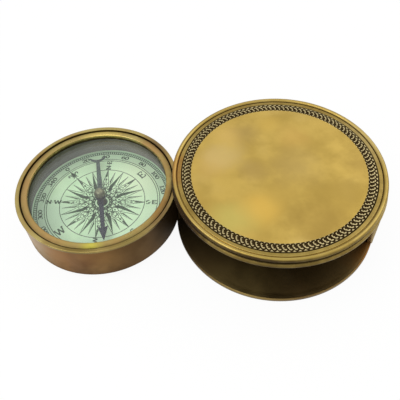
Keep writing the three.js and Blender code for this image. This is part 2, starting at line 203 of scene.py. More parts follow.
class CompassSettings(bpy.types.PropertyGroup):
    """Sizes and colours of the compass's own case and glazing."""

    wall: length("Wall", "Thickness of the cup's wall", 1.4)
    floor: length("Floor", "Thickness of the cup's floor", 1.2)
    seat: length("Seat", "Width of the step that the dial plate lies on", 1.5)
    foot_round: length("Foot rounding", "Rounding of the cup's lower edge", 0.5)
    rim_round: length("Rim rounding", "Rounding of the rim ring's edges", 0.32)
    rim_fit: length("Rim step", "From the cup's bore to the rim ring's bore", 0.15)
    ring_width: length("Ring width", "Width of the ring that holds the glass", 2.55)
    ring_step: length("Ring step", "Step that leaves the groove round the ring", 0.1)
    ring_step_height: length("Ring step height", "Height of that step", 1.4)
    ring_fall: length("Ring fall", "How far the ring falls towards its outside", 0.25)
    ring_edge: length("Ring edge", "Rounding of the ring's outer edge", 0.2)
    ring_inner_edge: length("Ring inner edge", "Rounding of the ring's inner edge", 0.5)
    glass_edge: length("Glass edge", "Bevel of the glass", 0.3)
    gasket_width: length("Gasket width", "Width of the seal under the glass", 1.5)
    liner_wall: length("Liner wall", "Thickness of the painted ring round the dial", 1.5)
    # The lip is painted pale, as a highlight
    liner_lip: length("Liner lip", "Bare lip at the painted ring's foot", 0.4)
    knuckle_flare: length("Knuckle flare", "How far the knuckle widens towards the cup", 2.2)
    knuckle_edge: length("Knuckle edge", "Rounding of the knuckle's edges", 0.35)
    joint: length("Solder joint", "Gap between the knuckle and the cup", 0.3)
    bore: length("Knuckle bore", "Radius of the hole for the pin", 1.6)
    # Also the colour of the painted highlight on the rim's outer edge
    pale: tint("Bright brass", "Rubbed edges of the rim", "#C9BB78")
    rim: tint("Rim brass", "Main colour of the two rings", "#A8955A")
    warm: tint("Warm patina", "Orange clouds on the rings", "#A58A54")
    cup_pale: tint("Rubbed cup", "Where hands have kept the cup bright", "#AC8A50")
    cup: tint("Cup brass", "The cup's main colour", "#805A2A")
    cup_dull: tint("Cup patina", "Darker clouds on the cup", "#704B22")
    liner: tint("Liner paint", "Grey-green paint of the liner", "#86807A")


class DialSettings(bpy.types.PropertyGroup):
    """Sizes and colours of the printed dial."""

    north: degrees("North", "Where the dial's north lies, counted from +X", 136)
    ink_height: length("Ink", "Thickness of the printed ink", 0.02)
    line: length("Line", "Width of the fine printed lines", 0.26)
    rose: length("Rose", "Radius of the circle round the compass rose", 16.8)
    inner_circle: length("Inner circle", "Radius of the circle inside the numbers", 21.9)
    outer_circle: length("Outer circle", "Radius of its twin", 22.7)
    numbers: length("Numbers", "Radius that the degree numbers stand on", 24.3)
    number_height: length("Number height", "Height of the degree numbers", 1.65)
    scale_inner: length("Scale inside", "Inner radius of the degree scale", 25.7)
    scale_outer: length("Scale outside", "Outer radius of the degree scale", 26.9)
    winds: length("Winds", "Radius that the four main letters stand on", 19.9)
    half_winds: length("Half winds", "Radius that the pairs of letters stand on", 19.4)
    wind_height: length("Wind height", "Height of the four main letters", 3.1)
    half_wind_height: length("Half wind height", "Height of the four pairs of letters", 1.7)
    stretch: share("Stretch", "How much wider the small characters are drawn", 1.4)
    number_step: count("Number step", "Degrees between two numbers", 20)
    ticks: count("Ticks", "Ticks round the degree scale", 180)
    card: tint("Card", "The card's pale green", "#D6F0CA")
    card_dull: tint("Card shade", "Faint clouds on the card", "#C4E2BA")
    scale_tint: tint("Scale tint", "The tint printed under the degree scale", "#B4CDB0")
    ink: tint("Ink", "The printed ink", "#2A4426")


class NeedleSettings(bpy.types.PropertyGroup):
    """Sizes and colours of the needle."""

    heading: degrees("Heading", "Where the arrow points at rest, counted from +X", -77)
    half_length: length("Half length", "From the pivot to the arrow's tip", 20.9)
    shaft: length("Shaft", "Width of the shaft near its ends", 1.45)
    waist: length("Waist", "Width of the shaft beside the hub", 2.0)
    arrow_length: length("Arrow length", "Length of the arrowhead", 6.0)
    arrow_width: length("Arrow width", "Width of the arrowhead", 4.0)
    arrow_barb: length("Arrow barb", "How far the barbs reach back", 0.5)
    crescent: length("Crescent", "Radius of the crescent", 3.65)
    crescent_width: length("Crescent width", "Width of the crescent's band", 1.2)
    horn: degrees("Horn", "How far round each horn reaches", 70)
    edge: length("Edge", "Bevel of the blade's edges", 0.1)
    neck: length("Neck", "Radius of the hub's neck inside the blade", 1.2)
    flange: length("Flange", "Radius of the eye round the hub", 1.9)
    tip: length("Tip", "Rounding of the hub's tip", 0.8)
    foot: length("Foot", "Radius of the hub's foot on the blade", 1.5)
    skirt: length("Skirt", "Height at which the hub is widest", 2.0)
    cap_spread: length("Cap spread", "How far the cap's rounding stands past its turned blank", 0.3)
    cap_rise: length("Cap rise", "How far the dome stands over its turned blank", 0.35)
    blued: tint("Blued steel", "The arrow's dark end", "#2A2C3A")
    straw: tint("Grey steel", "The crescent's paler end", "#586760")
    hub_pale: tint("Hub tip", "The rubbed tip of the hub", "#B0B19C")
    hub: tint("Hub", "The hub's grey brass", "#919074")


class StageSettings(bpy.types.PropertyGroup):
    """The camera, the lamps and the floor."""

    aim_x: bpy.props.FloatProperty(
        name="Aim X", description="Where the camera looks", default=-29.454 * MM, unit="LENGTH"
    )
    aim_y: bpy.props.FloatProperty(
        name="Aim Y", description="Where the camera looks", default=6.794 * MM, unit="LENGTH"
    )
    distance: length("Distance", "From the camera to where it looks", 212.62)
    azimuth: degrees("Azimuth", "The camera's turn round the object", 6.07)
    elevation: degrees("Elevation", "The camera's height above the horizon", 51.75)
    roll: degrees("Roll", "The camera's own turn", -4.02)
    lens: bpy.props.FloatProperty(
        name="Lens", description="Focal length", default=47.05, unit="CAMERA", min=1.0
    )
    world: share("World", "Strength of the light all round", 1.0)
    key: share("Key", "Power of the large lamp, in watts", 0.6)
    floor_glow: share("Floor glow", "How much of the floor's white is plain white", 0.93)
    floor: tint("Floor", "Colour of the floor", "#F4F4F2")


def span(node):
    """The middle, half width, lowest and highest place of a round frame node."""
    low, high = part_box(node)
    middle = (low + high) / 2
    return Vector((middle.x, middle.y, 0)), (high.x - low.x) / 2, low.z, high.z


def corner(x, y, rounding=0, tone=PLAIN):
    """A corner of an outline, sharp and plain unless it says more."""
    return x, y, rounding, tone


def soften(corners):
    """Outline points (x, y, tone), with each corner (x, y, rounding, tone) turned to an arc."""
    points = []
    for i, (x, y, rounding, tone) in enumerate(corner(*c) for c in corners):
        if rounding <= 0:
            points.append((x, y, tone))
            continue
        here = Vector((x, y))
        back = Vector(corners[i - 1][:2]) - here
        on = Vector(corners[(i + 1) % len(corners)][:2]) - here
        half = back.angle(on) / 2
        room = min(back.length, on.length) * CORNER_SHARE
        reach = min(rounding / math.tan(half), room)
        back_way, on_way = back.normalized(), on.normalized()
        centre = here + (back_way + on_way).normalized() * (reach / math.cos(half))
        spoke = here + back_way * reach - centre
        sweep = spoke.angle_signed(here + on_way * reach - centre)
        if back.length * STRETCH_SHARE > reach + SUPPORT:
            points.append((*(here + back_way * (reach + SUPPORT)), tone))
        for k in range(CORNER_STEPS + 1):
            points.append((*(centre + Matrix.Rotation(-sweep * k / CORNER_STEPS, 2) @ spoke), tone))
        if on.length * STRETCH_SHARE > reach + SUPPORT:
            points.append((*(here + on_way * (reach + SUPPORT)), tone))
    return points


def arc(centre, radius, start, end, steps, tones=(PLAIN, PLAIN)):
    """Unrounded corners along an arc, its angles in degrees, its tone running from one to two."""
    corners = []
    for k in range(steps + 1):
        angle = math.radians(start + (end - start) * k / steps)
        x = centre[0] + radius * math.cos(angle)
        y = centre[1] + radius * math.sin(angle)
        corners.append((x, y, 0, tones[0] + (tones[1] - tones[0]) * k / steps))
    return corners


def closed_wire(bm, points, lift):
    """A closed wire through the points, each put in place by lift. The axis gets no edge."""
    tone = bm.verts.layers.float["tone"]
    verts = []
    for x, y, value in points:
        vert = bm.verts.new(lift(x, y))
        vert[tone] = value
        verts.append(vert)
    edges = []
    for a, b in zip(verts, verts[1:] + verts[:1]):
        if abs(a.co.x) > WELD or abs(b.co.x) > WELD:
            edges.append(bm.edges.new((a, b)))
    return verts, edges


def new_bmesh():
    """An empty bmesh that carries the tone of each point."""
    bm = bmesh.new()
    bm.verts.layers.float.new("tone")
    return bm


def turned(middle, *corners, steps=LARGE_TURN):
    """A solid turned from a closed outline of corners (radius, height, rounding, tone)."""
    bm = new_bmesh()
    verts, edges = closed_wire(bm, soften(corners), lambda x, y: (x, 0, y))
    bmesh.ops.spin(
        bm,
        geom=verts + edges,
        cent=ORIGIN,
        axis=UP,
        angle=math.tau,
        steps=steps,
        use_merge=True,
    )
    bmesh.ops.remove_doubles(bm, verts=bm.verts, dist=WELD)
    bmesh.ops.translate(bm, verts=bm.verts, vec=middle)
    return bm


def finish_piece(name, bm, material, body, node):
    """Closes a mesh, smooths it and gives it its body and the node it stands for."""
    bmesh.ops.remove_doubles(bm, verts=bm.verts, dist=WELD)
    bmesh.ops.recalc_face_normals(bm, faces=bm.faces)
    mesh = bpy.data.meshes.new(name)
    bm.to_mesh(mesh)
    bm.free()
    mesh.shade_smooth()
    mesh.set_sharp_from_angle(angle=SHARP_ANGLE)
    mesh.materials.append(material)
    obj = bpy.data.objects.new(name, mesh)
    bpy.context.scene.collection.objects.link(obj)
    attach(obj, body)
    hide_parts(node)
    return obj


def weather(bm, middle, near, far, top, angle, width, change):
    """Changes the tone of the points between two radii and under a height, most at one angle:
    painted light and shade, and patina.
    """
    tone = bm.verts.layers.float["tone"]
    way = Vector((math.cos(math.radians(angle)), math.sin(math.radians(angle))))
    for vert in bm.verts:
        out = (vert.co - middle).xy
        if near < out.length < far and vert.co.z < top:
            apart = math.degrees(way.angle(out, 0))
            vert[tone] += change * math.exp(-((apart / width) ** 2))


def repeat(bm, faces, centre, times):
    """Spreads copies of some faces evenly round a centre."""
    edges = dict.fromkeys(e for f in faces for e in f.edges)
    verts = dict.fromkeys(v for f in faces for v in f.verts)
    bmesh.ops.spin(
        bm,
        geom=[*verts, *edges, *faces],
        cent=centre,
        axis=UP,
        angle=math.tau * (times - 1) / times,
        steps=times - 1,
        use_duplicate=True,
    )


def raise_faces(bm, faces, height):
    """Thickens flat faces upwards into closed solids, and gives back the top faces."""
    bm.normal_update()
    grown = bmesh.ops.extrude_face_region(bm, geom=faces, use_keep_orig=True)["geom"]
    verts = [g for g in grown if isinstance(g, bmesh.types.BMVert)]
    bmesh.ops.translate(bm, verts=verts, vec=UP * height)
    return [g for g in grown if isinstance(g, bmesh.types.BMFace)]


def bevel_edges(bm, edges, offset, segments=2):
    """Rounds some edges of a mesh."""
    bmesh.ops.bevel(
        bm,
        geom=edges,
        offset=offset,
        offset_type="OFFSET",
        segments=segments,
        profile=0.5,
        affect="EDGES",
        material=-1,
    )


def add(tree, kind, inputs=None, output=0, **settings):
    """Adds a node, and gives back one of its outputs where it has any.

    Its inputs are sockets to link, plain values, or colours without their alpha.
    """
    node = tree.nodes.new("ShaderNode" + kind)
    for name, value in settings.items():
        setattr(node, name, value)
    for name, value in (inputs or {}).items():
        socket = node.inputs[name]
        if isinstance(value, bpy.types.NodeSocket):
            tree.links.new(value, socket)
        else:
            socket.default_value = (*value, 1.0) if socket.type == "RGBA" else value
    return node.outputs[output] if node.outputs else node


# The mix node's sockets when it mixes colours
FIRST, SECOND, MIXED = 6, 7, 2
# A range with soft ends
SOFT = {"interpolation_type": "SMOOTHSTEP"}
# How strongly the finer detail of noise shows. Most of noise lies between 0.3 and 0.7, so a
# range of that width uses all of it.
DETAIL_SHARE = 0.55


def new_material(name):
    """A material, and its empty node tree."""
    material = bpy.data.materials.new(name)
    material.use_nodes = True
    material.node_tree.nodes.clear()
    return material, material.node_tree


def placed(tree, middle):
    """Object coordinates about a piece's own middle."""
    coordinates = add(tree, "TexCoord", output="Object")
    return add(tree, "Mapping", {"Vector": coordinates, "Location": -Vector(middle)})


def spread(tree, at, x, y):
    """How far a point lies from an upright axis."""
    flat = add(tree, "VectorMath", {0: at, 1: (1, 1, 0)}, operation="MULTIPLY")
    return add(tree, "VectorMath", {0: flat, 1: (x, y, 0)}, "Value", operation="DISTANCE")


def layered(tree, colour, *layers):
    """A colour with others over it, each (value, low, high, thin, thick, colour).

    The layer is as strong as thin where its value is low, and as strong as thick where it is high.
    """
    for value, low, high, thin, thick, over in layers:
        factor = add(tree, "MapRange", {0: value, 1: low, 2: high, 3: thin, 4: thick}, **SOFT)
        inputs = {0: factor, FIRST: colour, SECOND: over}
        colour = add(tree, "Mix", inputs, MIXED, data_type="RGBA")
    return colour


def surface(tree, inputs, grain, strength, depth):
    """The shader with a fine relief, its depth in millimetres, on the material's output."""
    relief = {"Height": grain, "Strength": strength, "Distance": depth * MM}
    shader = add(tree, "BsdfPrincipled", {**inputs, "Normal": add(tree, "Bump", relief)})
    add(tree, "OutputMaterial", {"Surface": shader})


def brass(name, colours, middle, cloud, polish, marks, spots=(), shaded_at_hinge=False):
    """Aged brass. Its rubbed, main and dull colours cloud into each other, and oxide covers them.

    The tone attribute says how rubbed or how oxidised a place is, and in places it holds painted
    light and shade. cloud is the width of the clouds, polish the roughness of the clean parts,
    marks the spacing of the fine turning marks, and spots are stains and painted light and shade
    (x, y, radius, colour, strength), all in millimetres. Brass shaded at the hinge is painted
    darker round it, as painted shade.
    """
    pale, body, dull, oxide = colours
    material, tree = new_material(name)
    at = placed(tree, middle)
    tone = add(tree, "Attribute", None, "Fac", attribute_name="tone")
    patterns = []
    for size, detail in ((cloud * MM, 3), (cloud * MM * 2.7, 2), (2.2 * MM, 4)):
        inputs = {"Vector": at, "Scale": 1 / size, "Detail": detail, "Roughness": DETAIL_SHARE}
        patterns.append(add(tree, "TexNoise", inputs))
    clouds, drifts, specks = patterns
    layers = [(clouds, 0.3, 0.7, 0, 1, body), (drifts, 0.5, 0.8, 0, 0.6, pale)]
    # Stains whose edges follow the clouds
    for x, y, radius, stain, strength in spots:
        radius *= MM
        inputs = {0: clouds, 1: radius, 2: spread(tree, at, x * MM, y * MM)}
        uneven = add(tree, "Math", inputs, operation="MULTIPLY_ADD")
        layers.append((uneven, radius * 0.6, radius * 1.6, strength, 0, linear(stain)))
    layers.append((tone, PLAIN, BRIGHT, 0, 0.9, pale))
    colour = layered(tree, dull, *layers)
    # Oxide, and painted shade where the tone holds it, its edge broken up by specks, which also
    # makes the brass rougher
    broken = add(tree, "Math", {0: specks, 1: 0.3, 2: tone}, operation="MULTIPLY_ADD")
    oxide_and_shade = add(tree, "MapRange", {0: broken, 1: 0.25, 2: 1.15, 4: 0.96}, **SOFT)
    # Painted shade round the hinge, where the case and the cup shade each other
    if shaded_at_hinge:
        case = bpy.context.scene.compass_case
        pin = span("pivot_pin")[0] - middle
        inputs = {0: spread(tree, at, pin.x, pin.y), 1: case.soot_near, 2: case.soot_far}
        hinge_shade = add(tree, "MapRange", {**inputs, 3: 0.85, 4: 0}, **SOFT)
        oxide_and_shade = add(tree, "Math", {0: oxide_and_shade, 1: hinge_shade}, operation="MAXIMUM")
    inputs = {0: oxide_and_shade, FIRST: colour, SECOND: oxide}
    colour = add(tree, "Mix", inputs, MIXED, data_type="RGBA")
    inputs = {0: clouds, 1: 0.3, 2: 0.7, 3: polish + 0.08, 4: polish - 0.04}
    rough = add(tree, "MapRange", inputs, **SOFT)
    inputs = {0: oxide_and_shade, 1: 0.35, 2: rough}
    rough = add(tree, "Math", inputs, operation="MULTIPLY_ADD", use_clamp=True)
    # Turning marks: noise that changes only outwards and upwards
    height = add(tree, "SeparateXYZ", {0: at}, "Z")
    rings = add(tree, "CombineXYZ", {0: spread(tree, at, 0, 0), 1: height})
    inputs = {"Vector": rings, "Scale": 1 / (marks * MM), "Detail": 1, "Roughness": DETAIL_SHARE}
    turning = add(tree, "TexNoise", inputs)
    inputs = {"Base Color": colour, "Metallic": 1.0, "Roughness": rough}
    surface(tree, inputs, turning, 0.12, 0.03)
    return material


def simple_finish(name, first, second, size, metallic, rough, depth):
    """A finish that drifts between two near colours, with a fine grain, in millimetres."""
    material, tree = new_material(name)
    at = placed(tree, ORIGIN)
    patterns = []
    for width, detail in ((size * MM, 4), (size * MM * 0.08, 2)):
        inputs = {"Vector": at, "Scale": 1 / width, "Detail": detail, "Roughness": DETAIL_SHARE}
        patterns.append(add(tree, "TexNoise", inputs))
    patches, grain = patterns
    colour = layered(tree, first, (patches, 0.35, 0.65, 0, 1, second))
    inputs = {0: grain, 1: 0.3, 2: 0.7, 3: rough - 0.05, 4: rough + 0.07}
    uneven = add(tree, "MapRange", inputs, **SOFT)
    inputs = {"Base Color": colour, "Metallic": metallic, "Roughness": uneven}
    surface(tree, inputs, grain, 0.25, depth)
    return material


def antiqued_brass(middle):
    """Brass browned in a chemical bath, then handled: satin copper brown with paler rubs, and a
    painted reflection at the case's right end.
    """
    s = bpy.context.scene.compass_case
    # The first spot is a painted reflection: the orange brown at the case's right end
    spots = [(33, -19, 11, "#8A5C2A", 0.8), (-13, -34, 20, "#9A8450", 0.75)]
    colours = (s.pale, s.body, s.dull, s.oxide)
    return brass("antiqued_brass", colours, middle, 11, 0.38, 0.5, spots, shaded_at_hinge=True)


def cup_brass(middle):
    """The same bath on the cup: a smoother, redder brown, paler at its left front as a painted
    highlight, and darker at its right front as painted shade.
    """
    s = bpy.context.scene.compass_cup
    # Painted light and shade: the first spot pales the left front, where the cup is lit; the last
    # darkens the right front, in shade beside the case
    spots = [
        (-21, -22, 17, "#AE8C50", 0.8),
        (-10, -27, 8, "#9E6E30", 0.6),
        (13, -25, 11, "#684A20", 0.8),
    ]
    rubbed = [c * 0.9 for c in s.cup_pale]
    colours = (rubbed, s.cup, s.cup_dull, bpy.context.scene.compass_case.oxide)
    return brass("antiqued_cup_brass", colours, middle, 14, 0.4, 0.5, spots, shaded_at_hinge=True)


def lid_brass():
    """Rolled brass, polished and left to tarnish: gold with cloudy olive and brown stains, and
    painted light that makes it paler towards the left and darker towards the right.
    """
    s = bpy.context.scene.compass_lid
    # Stains, and painted light and shade: the spots on the left are paler where the lid is lit,
    # those on the right darker
    spots = [
        (22, -14, 26, "#A68A43", 0.8),
        (12, -25, 14, "#9E8241", 0.7),
        (-12, 18.6, 8, "#AA8F52", 0.7),
        (-19, 17, 8, "#D6B468", 0.6),
        (-3, 23, 6, "#D2B058", 0.6),
        (-7, -17, 9, "#DCB456", 0.7),
        (-16, -22, 10, "#C6B764", 0.7),
        (-9, -1, 7, "#AC9052", 0.6),
        (6, 17, 8, "#CDA759", 0.5),
        (-24, 2, 9, "#CEAC62", 0.6),
        (1, -10, 7, "#BE9F50", 0.5),
        (31, 3, 12, "#A88C48", 0.7),
        (6, 2, 12, "#B09556", 0.6),
        (-20, 7, 10, "#D4B978", 0.6),
    ]
    colours = (s.pale, s.body, s.dull, s.oxide)
    return brass("tarnished_lid_brass", colours, ORIGIN, 10, 0.32, 0.6, spots)


def lid_ring_brass():
    """The lid's turned ring: the same brass, olive on its tops and darker brown at its side."""
    s = bpy.context.scene.compass_lid
    spots = [
        (-37, 0, 12, "#B88B48", 0.85),
        (33, 15, 16, "#C4AE70", 0.7),
        (0, -37, 20, "#A48E48", 0.7),
    ]
    colours = (s.ring_pale, s.ring, s.ring_dull, linear("#3A2B20"))
    return brass("tarnished_ring_brass", colours, ORIGIN, 7, 0.32, 0.6, spots)


def rope_brass():
    """The chased rope: brass brushed grey, its hollows never polished."""
    s = bpy.context.scene.compass_lid
    colours = (s.rope, s.rope, [c * 0.85 for c in s.rope], s.oxide)
    return brass("chased_rope_brass", colours, ORIGIN, 7, 0.34, 0.6)


def turned_brass(name, middle, spots):
    """Brass off the lathe, with the compass's colours for its rings."""
    s = bpy.context.scene.compass_cup
    colours = (s.pale, s.rim, s.warm, bpy.context.scene.compass_case.oxide)
    return brass(name, colours, middle, 6, 0.28, 0.4, spots)


def rim_brass(middle):
    """The screwed rim: turned brass, its lacquer worn, olive gold with brown stains."""
    spots = [
        (-3, -31, 15, "#7A6838", 0.9),
        (16, -26, 11, "#83723F", 0.85),
        (27, -15, 12, "#7A6240", 0.85),
        (22, 21, 9, "#7A6344", 0.85),
        (-2, 31, 14, "#B3A467", 0.8),
    ]
    return turned_brass("turned_rim_brass", middle, spots)


def ring_brass(middle):
    """The ring over the glass: turned brass, orange at the sides, and yellow in front and behind,
    where painted highlights lie.
    """
    spots = [
        (-27, -3, 17, "#B08D5A", 0.75),
        (-14, -25, 12, "#AD8B58", 0.75),
        (0, -28, 11, "#A38F56", 0.85),
        # A small yellow-green painted highlight in front
        (3.2, -28.5, 4.5, "#C6BC50", 0.95),
        (26, -14, 12, "#9A7643", 0.85),
        (20, 19, 10, "#B08C58", 0.8),
        # A painted highlight behind
        (-2, 28, 12, "#D6BD6A", 0.8),
    ]
    return turned_brass("turned_glass_ring_brass", middle, spots)


def hub_brass(name, middle, painted_brightness=1.0):
    """Small brass parts gone grey: dull, hardly polished. A brightness under one darkens all the
    colours, as painted shade.
    """
    s = bpy.context.scene.compass_needle
    pale = [c * painted_brightness for c in s.hub_pale]
    body = [c * painted_brightness for c in s.hub]
    dull = [c * 0.65 for c in body]
    colours = (pale, body, dull, bpy.context.scene.compass_case.oxide)
    return brass(name, colours, middle, 1.5, 0.36, 0.3)


def clear_glass():
    """Flat mineral glass: clear, faintly green, sharp reflections, and lamps shine through it."""
    material, tree = new_material("flat_mineral_glass")
    at = placed(tree, ORIGIN)
    inputs = {"Vector": at, "Scale": 1 / (8 * MM), "Detail": 3, "Roughness": DETAIL_SHARE}
    smears = add(tree, "TexNoise", inputs)
    rough = add(tree, "MapRange", {0: smears, 1: 0.4, 2: 0.7, 4: 0.05}, **SOFT)
    inputs = {"Base Color": linear("#FBFDFB"), "Roughness": rough, "IOR": 1.5}
    glass = add(tree, "BsdfPrincipled", {**inputs, "Transmission Weight": 1.0})
    clear = add(tree, "BsdfTransparent", {"Color": linear("#FAFCFA")})
    path = add(tree, "LightPath").node.outputs
    inputs = {0: path["Is Shadow Ray"], 1: path["Is Diffuse Ray"]}
    through = add(tree, "Math", inputs, operation="MAXIMUM")
    mixed = add(tree, "MixShader", {0: through, 1: glass, 2: clear})
    add(tree, "OutputMaterial", {"Surface": mixed})
    return material


def build_case():
    """The base plate and the curved wall."""
    s = bpy.context.scene.compass_case
    middle, radius, low, high = span("bottom_plate")
    material = antiqued_brass(middle)
    # The plate's top paler near its rim and darker inwards: painted light at the rim, and painted
    # shade under the lid within
    plate = turned(
        middle,
        (0, low),
        (radius, low, s.plate_edge, 0.6),
        (radius, high, s.plate_edge, 0.0),
        (radius - s.plate_rub, high, 0, -0.4),
        (radius - 2 * s.plate_rub, high, 0, 0.1),
        (radius - 3 * s.plate_rub, high, 0, 0.45),
        (0, high, 0, 0.55),
    )
    plate_obj = finish_piece("base_plate", plate, material, "case", "bottom_plate")
    pin = span("pivot_pin")[0]
    sink = turned(
        pin,
        (0, low - s.pin_shank, 0, DULL),
        (s.pin_head, low - s.pin_shank, 0, DULL),
        (s.pin_head, low, 0, DULL),
        (s.pin_shank, s.head_depth, 0, DULL),
        (s.pin_shank, high + s.pin_shank, 0, DULL),
        (0, high + s.pin_shank, 0, DULL),
        steps=SMALL_TURN,
    )
    cut_away(plate_obj, sink)

    wall_low, wall_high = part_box("case_wall")
    outer, inner = wall_high.x, wall_high.x - s.wall_thickness
    bm = new_bmesh()
    # The wall's inside dark, as painted shade within the case
    corners = [
        (inner, wall_low.z, 0, DARK),
        (outer, wall_low.z, 0, DULL),
        (outer, wall_high.z, 0, DULL),
        (inner, wall_high.z, 0, DARK),
    ]
    start = Matrix.Rotation(s.wall_from, 3, "Z")
    verts, edges = closed_wire(bm, soften(corners), lambda x, y: start @ Vector((x, 0, y)))
    bmesh.ops.spin(
        bm,
        geom=verts + edges,
        cent=ORIGIN,
        axis=UP,
        angle=s.wall_to - s.wall_from,
        steps=LARGE_TURN // 2,
    )
    ends = [e for e in bm.edges if e.is_boundary]
    bmesh.ops.holes_fill(bm, edges=ends, sides=0)
    bmesh.ops.recalc_face_normals(bm, faces=bm.faces)
    bevel_edges(bm, [e for e in bm.edges if e.calc_face_angle(0) > SHARP_ANGLE], s.wall_edge)
    # Paler: the wall's two cut ends, and its outside near the front one, a painted highlight where
    # it is lit
    tone = bm.verts.layers.float["tone"]
    bm.normal_update()
    for face in bm.faces:
        outwards = face.calc_center_median().xy.normalized()
        # A cut end looks neither up or down nor outwards or inwards
        if max(abs(face.normal.z), abs(face.normal.xy.dot(outwards))) < 0.3:
            for vert in face.verts:
                vert[tone] = 0.8 * BRIGHT
    half = (inner + outer) / 2
    weather(bm, ORIGIN, half, 2 * outer, outer, math.degrees(s.wall_from), 40, -0.9)
    finish_piece("case_side_wall", bm, material, "case", "case_wall")


def cut_away(obj, cutter):
    """Takes a turned cutter out of a finished piece."""
    bmesh.ops.recalc_face_normals(cutter, faces=cutter.faces)
    mesh = bpy.data.meshes.new("cutter")
    cutter.to_mesh(mesh)
    cutter.free()
    tool = bpy.data.objects.new("cutter", mesh)
    bpy.context.scene.collection.objects.link(tool)
    modifier = obj.modifiers.new("Hole", "BOOLEAN")
    modifier.operation = "DIFFERENCE"
    modifier.solver = "EXACT"
    modifier.object = tool
    graph = bpy.context.evaluated_depsgraph_get()
    result = bpy.data.meshes.new_from_object(obj.evaluated_get(graph))
    obj.modifiers.clear()
    obj.data = result
    result.shade_smooth()
    result.set_sharp_from_angle(angle=SHARP_ANGLE)
    bpy.data.objects.remove(tool)


def lid_ring_corners(s, radius, low, high):
    """Outline of the lid's ring: lower bead, waist, upper bead, groove and flat band."""
    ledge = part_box("lid_plate")[0].z
    ledge_inner = min(Vector(v.co[:2]).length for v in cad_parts["lid_rim"].data.vertices)
    case_radius = radius - s.lower_overhang
    groove = case_radius - 2 * s.upper_bead
    seat = groove - s.groove_width - s.band_width
    waist = case_radius - s.waist_inset
    upper_z = high - s.upper_bead
    waist_top = upper_z - s.upper_bead
    band = high - s.band_drop
    lower = (radius - s.lower_bead, low + s.lower_bead)
    upper = (case_radius - s.upper_bead, upper_z)
    return [
        (ledge_inner, low, 0.2 * MM, DULL),
        *arc(lower, s.lower_bead, -90, -20, 5, (DARK, 0.7)),
        *arc(lower, s.lower_bead, -5, 50, 6, (0.55, 0.45)),
        *arc(lower, s.lower_bead, 60, 75, 2, (0.5, 0.6)),
        (waist, waist_top - s.waist_height, 0, 0.62),
        (waist, waist_top, 0, 0.62),
        *arc(upper, s.upper_bead, -75, 15, 7, (0.62, 0.6)),
        *arc(upper, s.upper_bead, 27, 90, 8, (0.58, 0.05)),
        *arc(upper, s.upper_bead, 100, 150, 6, (-0.5, 0.1)),
        *arc(upper, s.upper_bead, 160, 175, 2, (0.5, DARK)),
        (groove, high - s.groove_depth, 0, DARK),
        (groove - s.groove_width, high - s.groove_depth, 0, 0.8),
        (groove - s.groove_width, band, s.band_round, 0.42),
        (seat, band, s.band_round, 0.42),
        (seat, ledge, 0, DARK),
        (ledge_inner, ledge, 0, DARK),
    ]


def build_lid():
    """The lid's ring, its plate and the rope border."""
    s = bpy.context.scene.compass_lid
    middle, radius, low, high = span("lid_rim")
    ring = turned(middle, *lid_ring_corners(s, radius, low, high))
    case_radius = radius - s.lower_overhang
    side = case_radius - s.waist_inset - 0.1 * MM
    past = 2 * radius
    top = high - 0.15 * s.upper_bead
    waist = high - 2 * s.upper_bead - s.waist_height / 2
    groove = case_radius - 2 * s.upper_bead
    # Tones set round an angle, between two radii and under a height: the side darker in front and a
    # little paler low down there; darker towards the hinge, as painted shade where the cup shades
    # it; paler at the right, as a painted highlight where it is lit; and the groove paler in front,
    # as painted light over its shade
    for light_and_patina in (
        (side, past, top, -100, 22, 0.27),
        (side, past, waist, -72, 14, 0.08),
        (side, past, top, -152, 20, 0.45),
        (side, past, waist, -105, 25, -0.13),
        (side, past, waist, -165, 25, 0.25),
        (side, past, top, 0, 45, -0.35),
        (side, past, top, -46, 12, 0.12),
        (groove - 0.4 * MM, groove + 0.2 * MM, high, -100, 60, -0.9),
    ):
        weather(ring, middle, *light_and_patina)
    finish_piece("lid_ring", ring, lid_ring_brass(), "case", "lid_rim")

    middle, radius, low, high = span("lid_plate")
    outer = radius - s.border_inset
    inner = outer - s.border_width
    ground = high - s.border_depth
    plate = turned(
        middle,
        (0, low, 0, DULL),
        (radius, low, s.plate_edge, DARK),
        (radius, high, s.plate_edge, DARK),
        (outer, high, 0.03 * MM, DARK),
        (outer, ground, 0, 1.3),
        (inner, ground, 0, 1.3),
        (inner, high, 0.03 * MM),
        (inner - 1.5 * MM, high),
        (0, high),
    )
    finish_piece("lid_disc", plate, lid_brass(), "case", "lid_plate")
    rope = rope_border(s, (inner + outer) / 2, (outer - inner) / 2, ground, high - ground)
    finish_piece("rope_border", rope, rope_brass(), "case", "lid_plate")


# The rope's strand with its three lobes, and the cusps that fill the border beside it. The
# first number runs along the border in millimetres, the second across it from -1 to 1.
STRAND = (
    [(-0.34, -0.42), (-0.33, -0.54), (-0.18, -0.65), (0.03, -0.69), (0.23, -0.66), (0.30, -0.57)]
    + [(0.21, -0.48), (0.05, -0.41), (0.02, -0.30), (0.17, -0.18), (0.43, -0.12), (0.55, -0.02)]
    + [(0.48, 0.08), (0.44, 0.17), (0.59, 0.25), (0.86, 0.26), (1.13, 0.24), (1.30, 0.33)]
    + [(1.25, 0.46), (1.04, 0.56), (0.75, 0.57), (0.48, 0.50), (0.24, 0.34), (0.00, 0.13)]
    + [(-0.19, -0.09), (-0.30, -0.27)]
)
OUTER_CUSP = (
    [(-0.78, 1), (-0.48, 0.93), (-0.29, 0.84), (-0.12, 0.70), (0.06, 0.61), (0.24, 0.70)]
    + [(0.42, 0.84), (0.60, 0.93), (0.89, 1)]
)
INNER_CUSP = (
    [(0.25, -1), (0.50, -0.95), (0.68, -0.85), (0.80, -0.76), (0.857, -0.69), (0.915, -0.76)]
    + [(1.03, -0.85), (1.21, -0.95), (1.46, -1)]
)


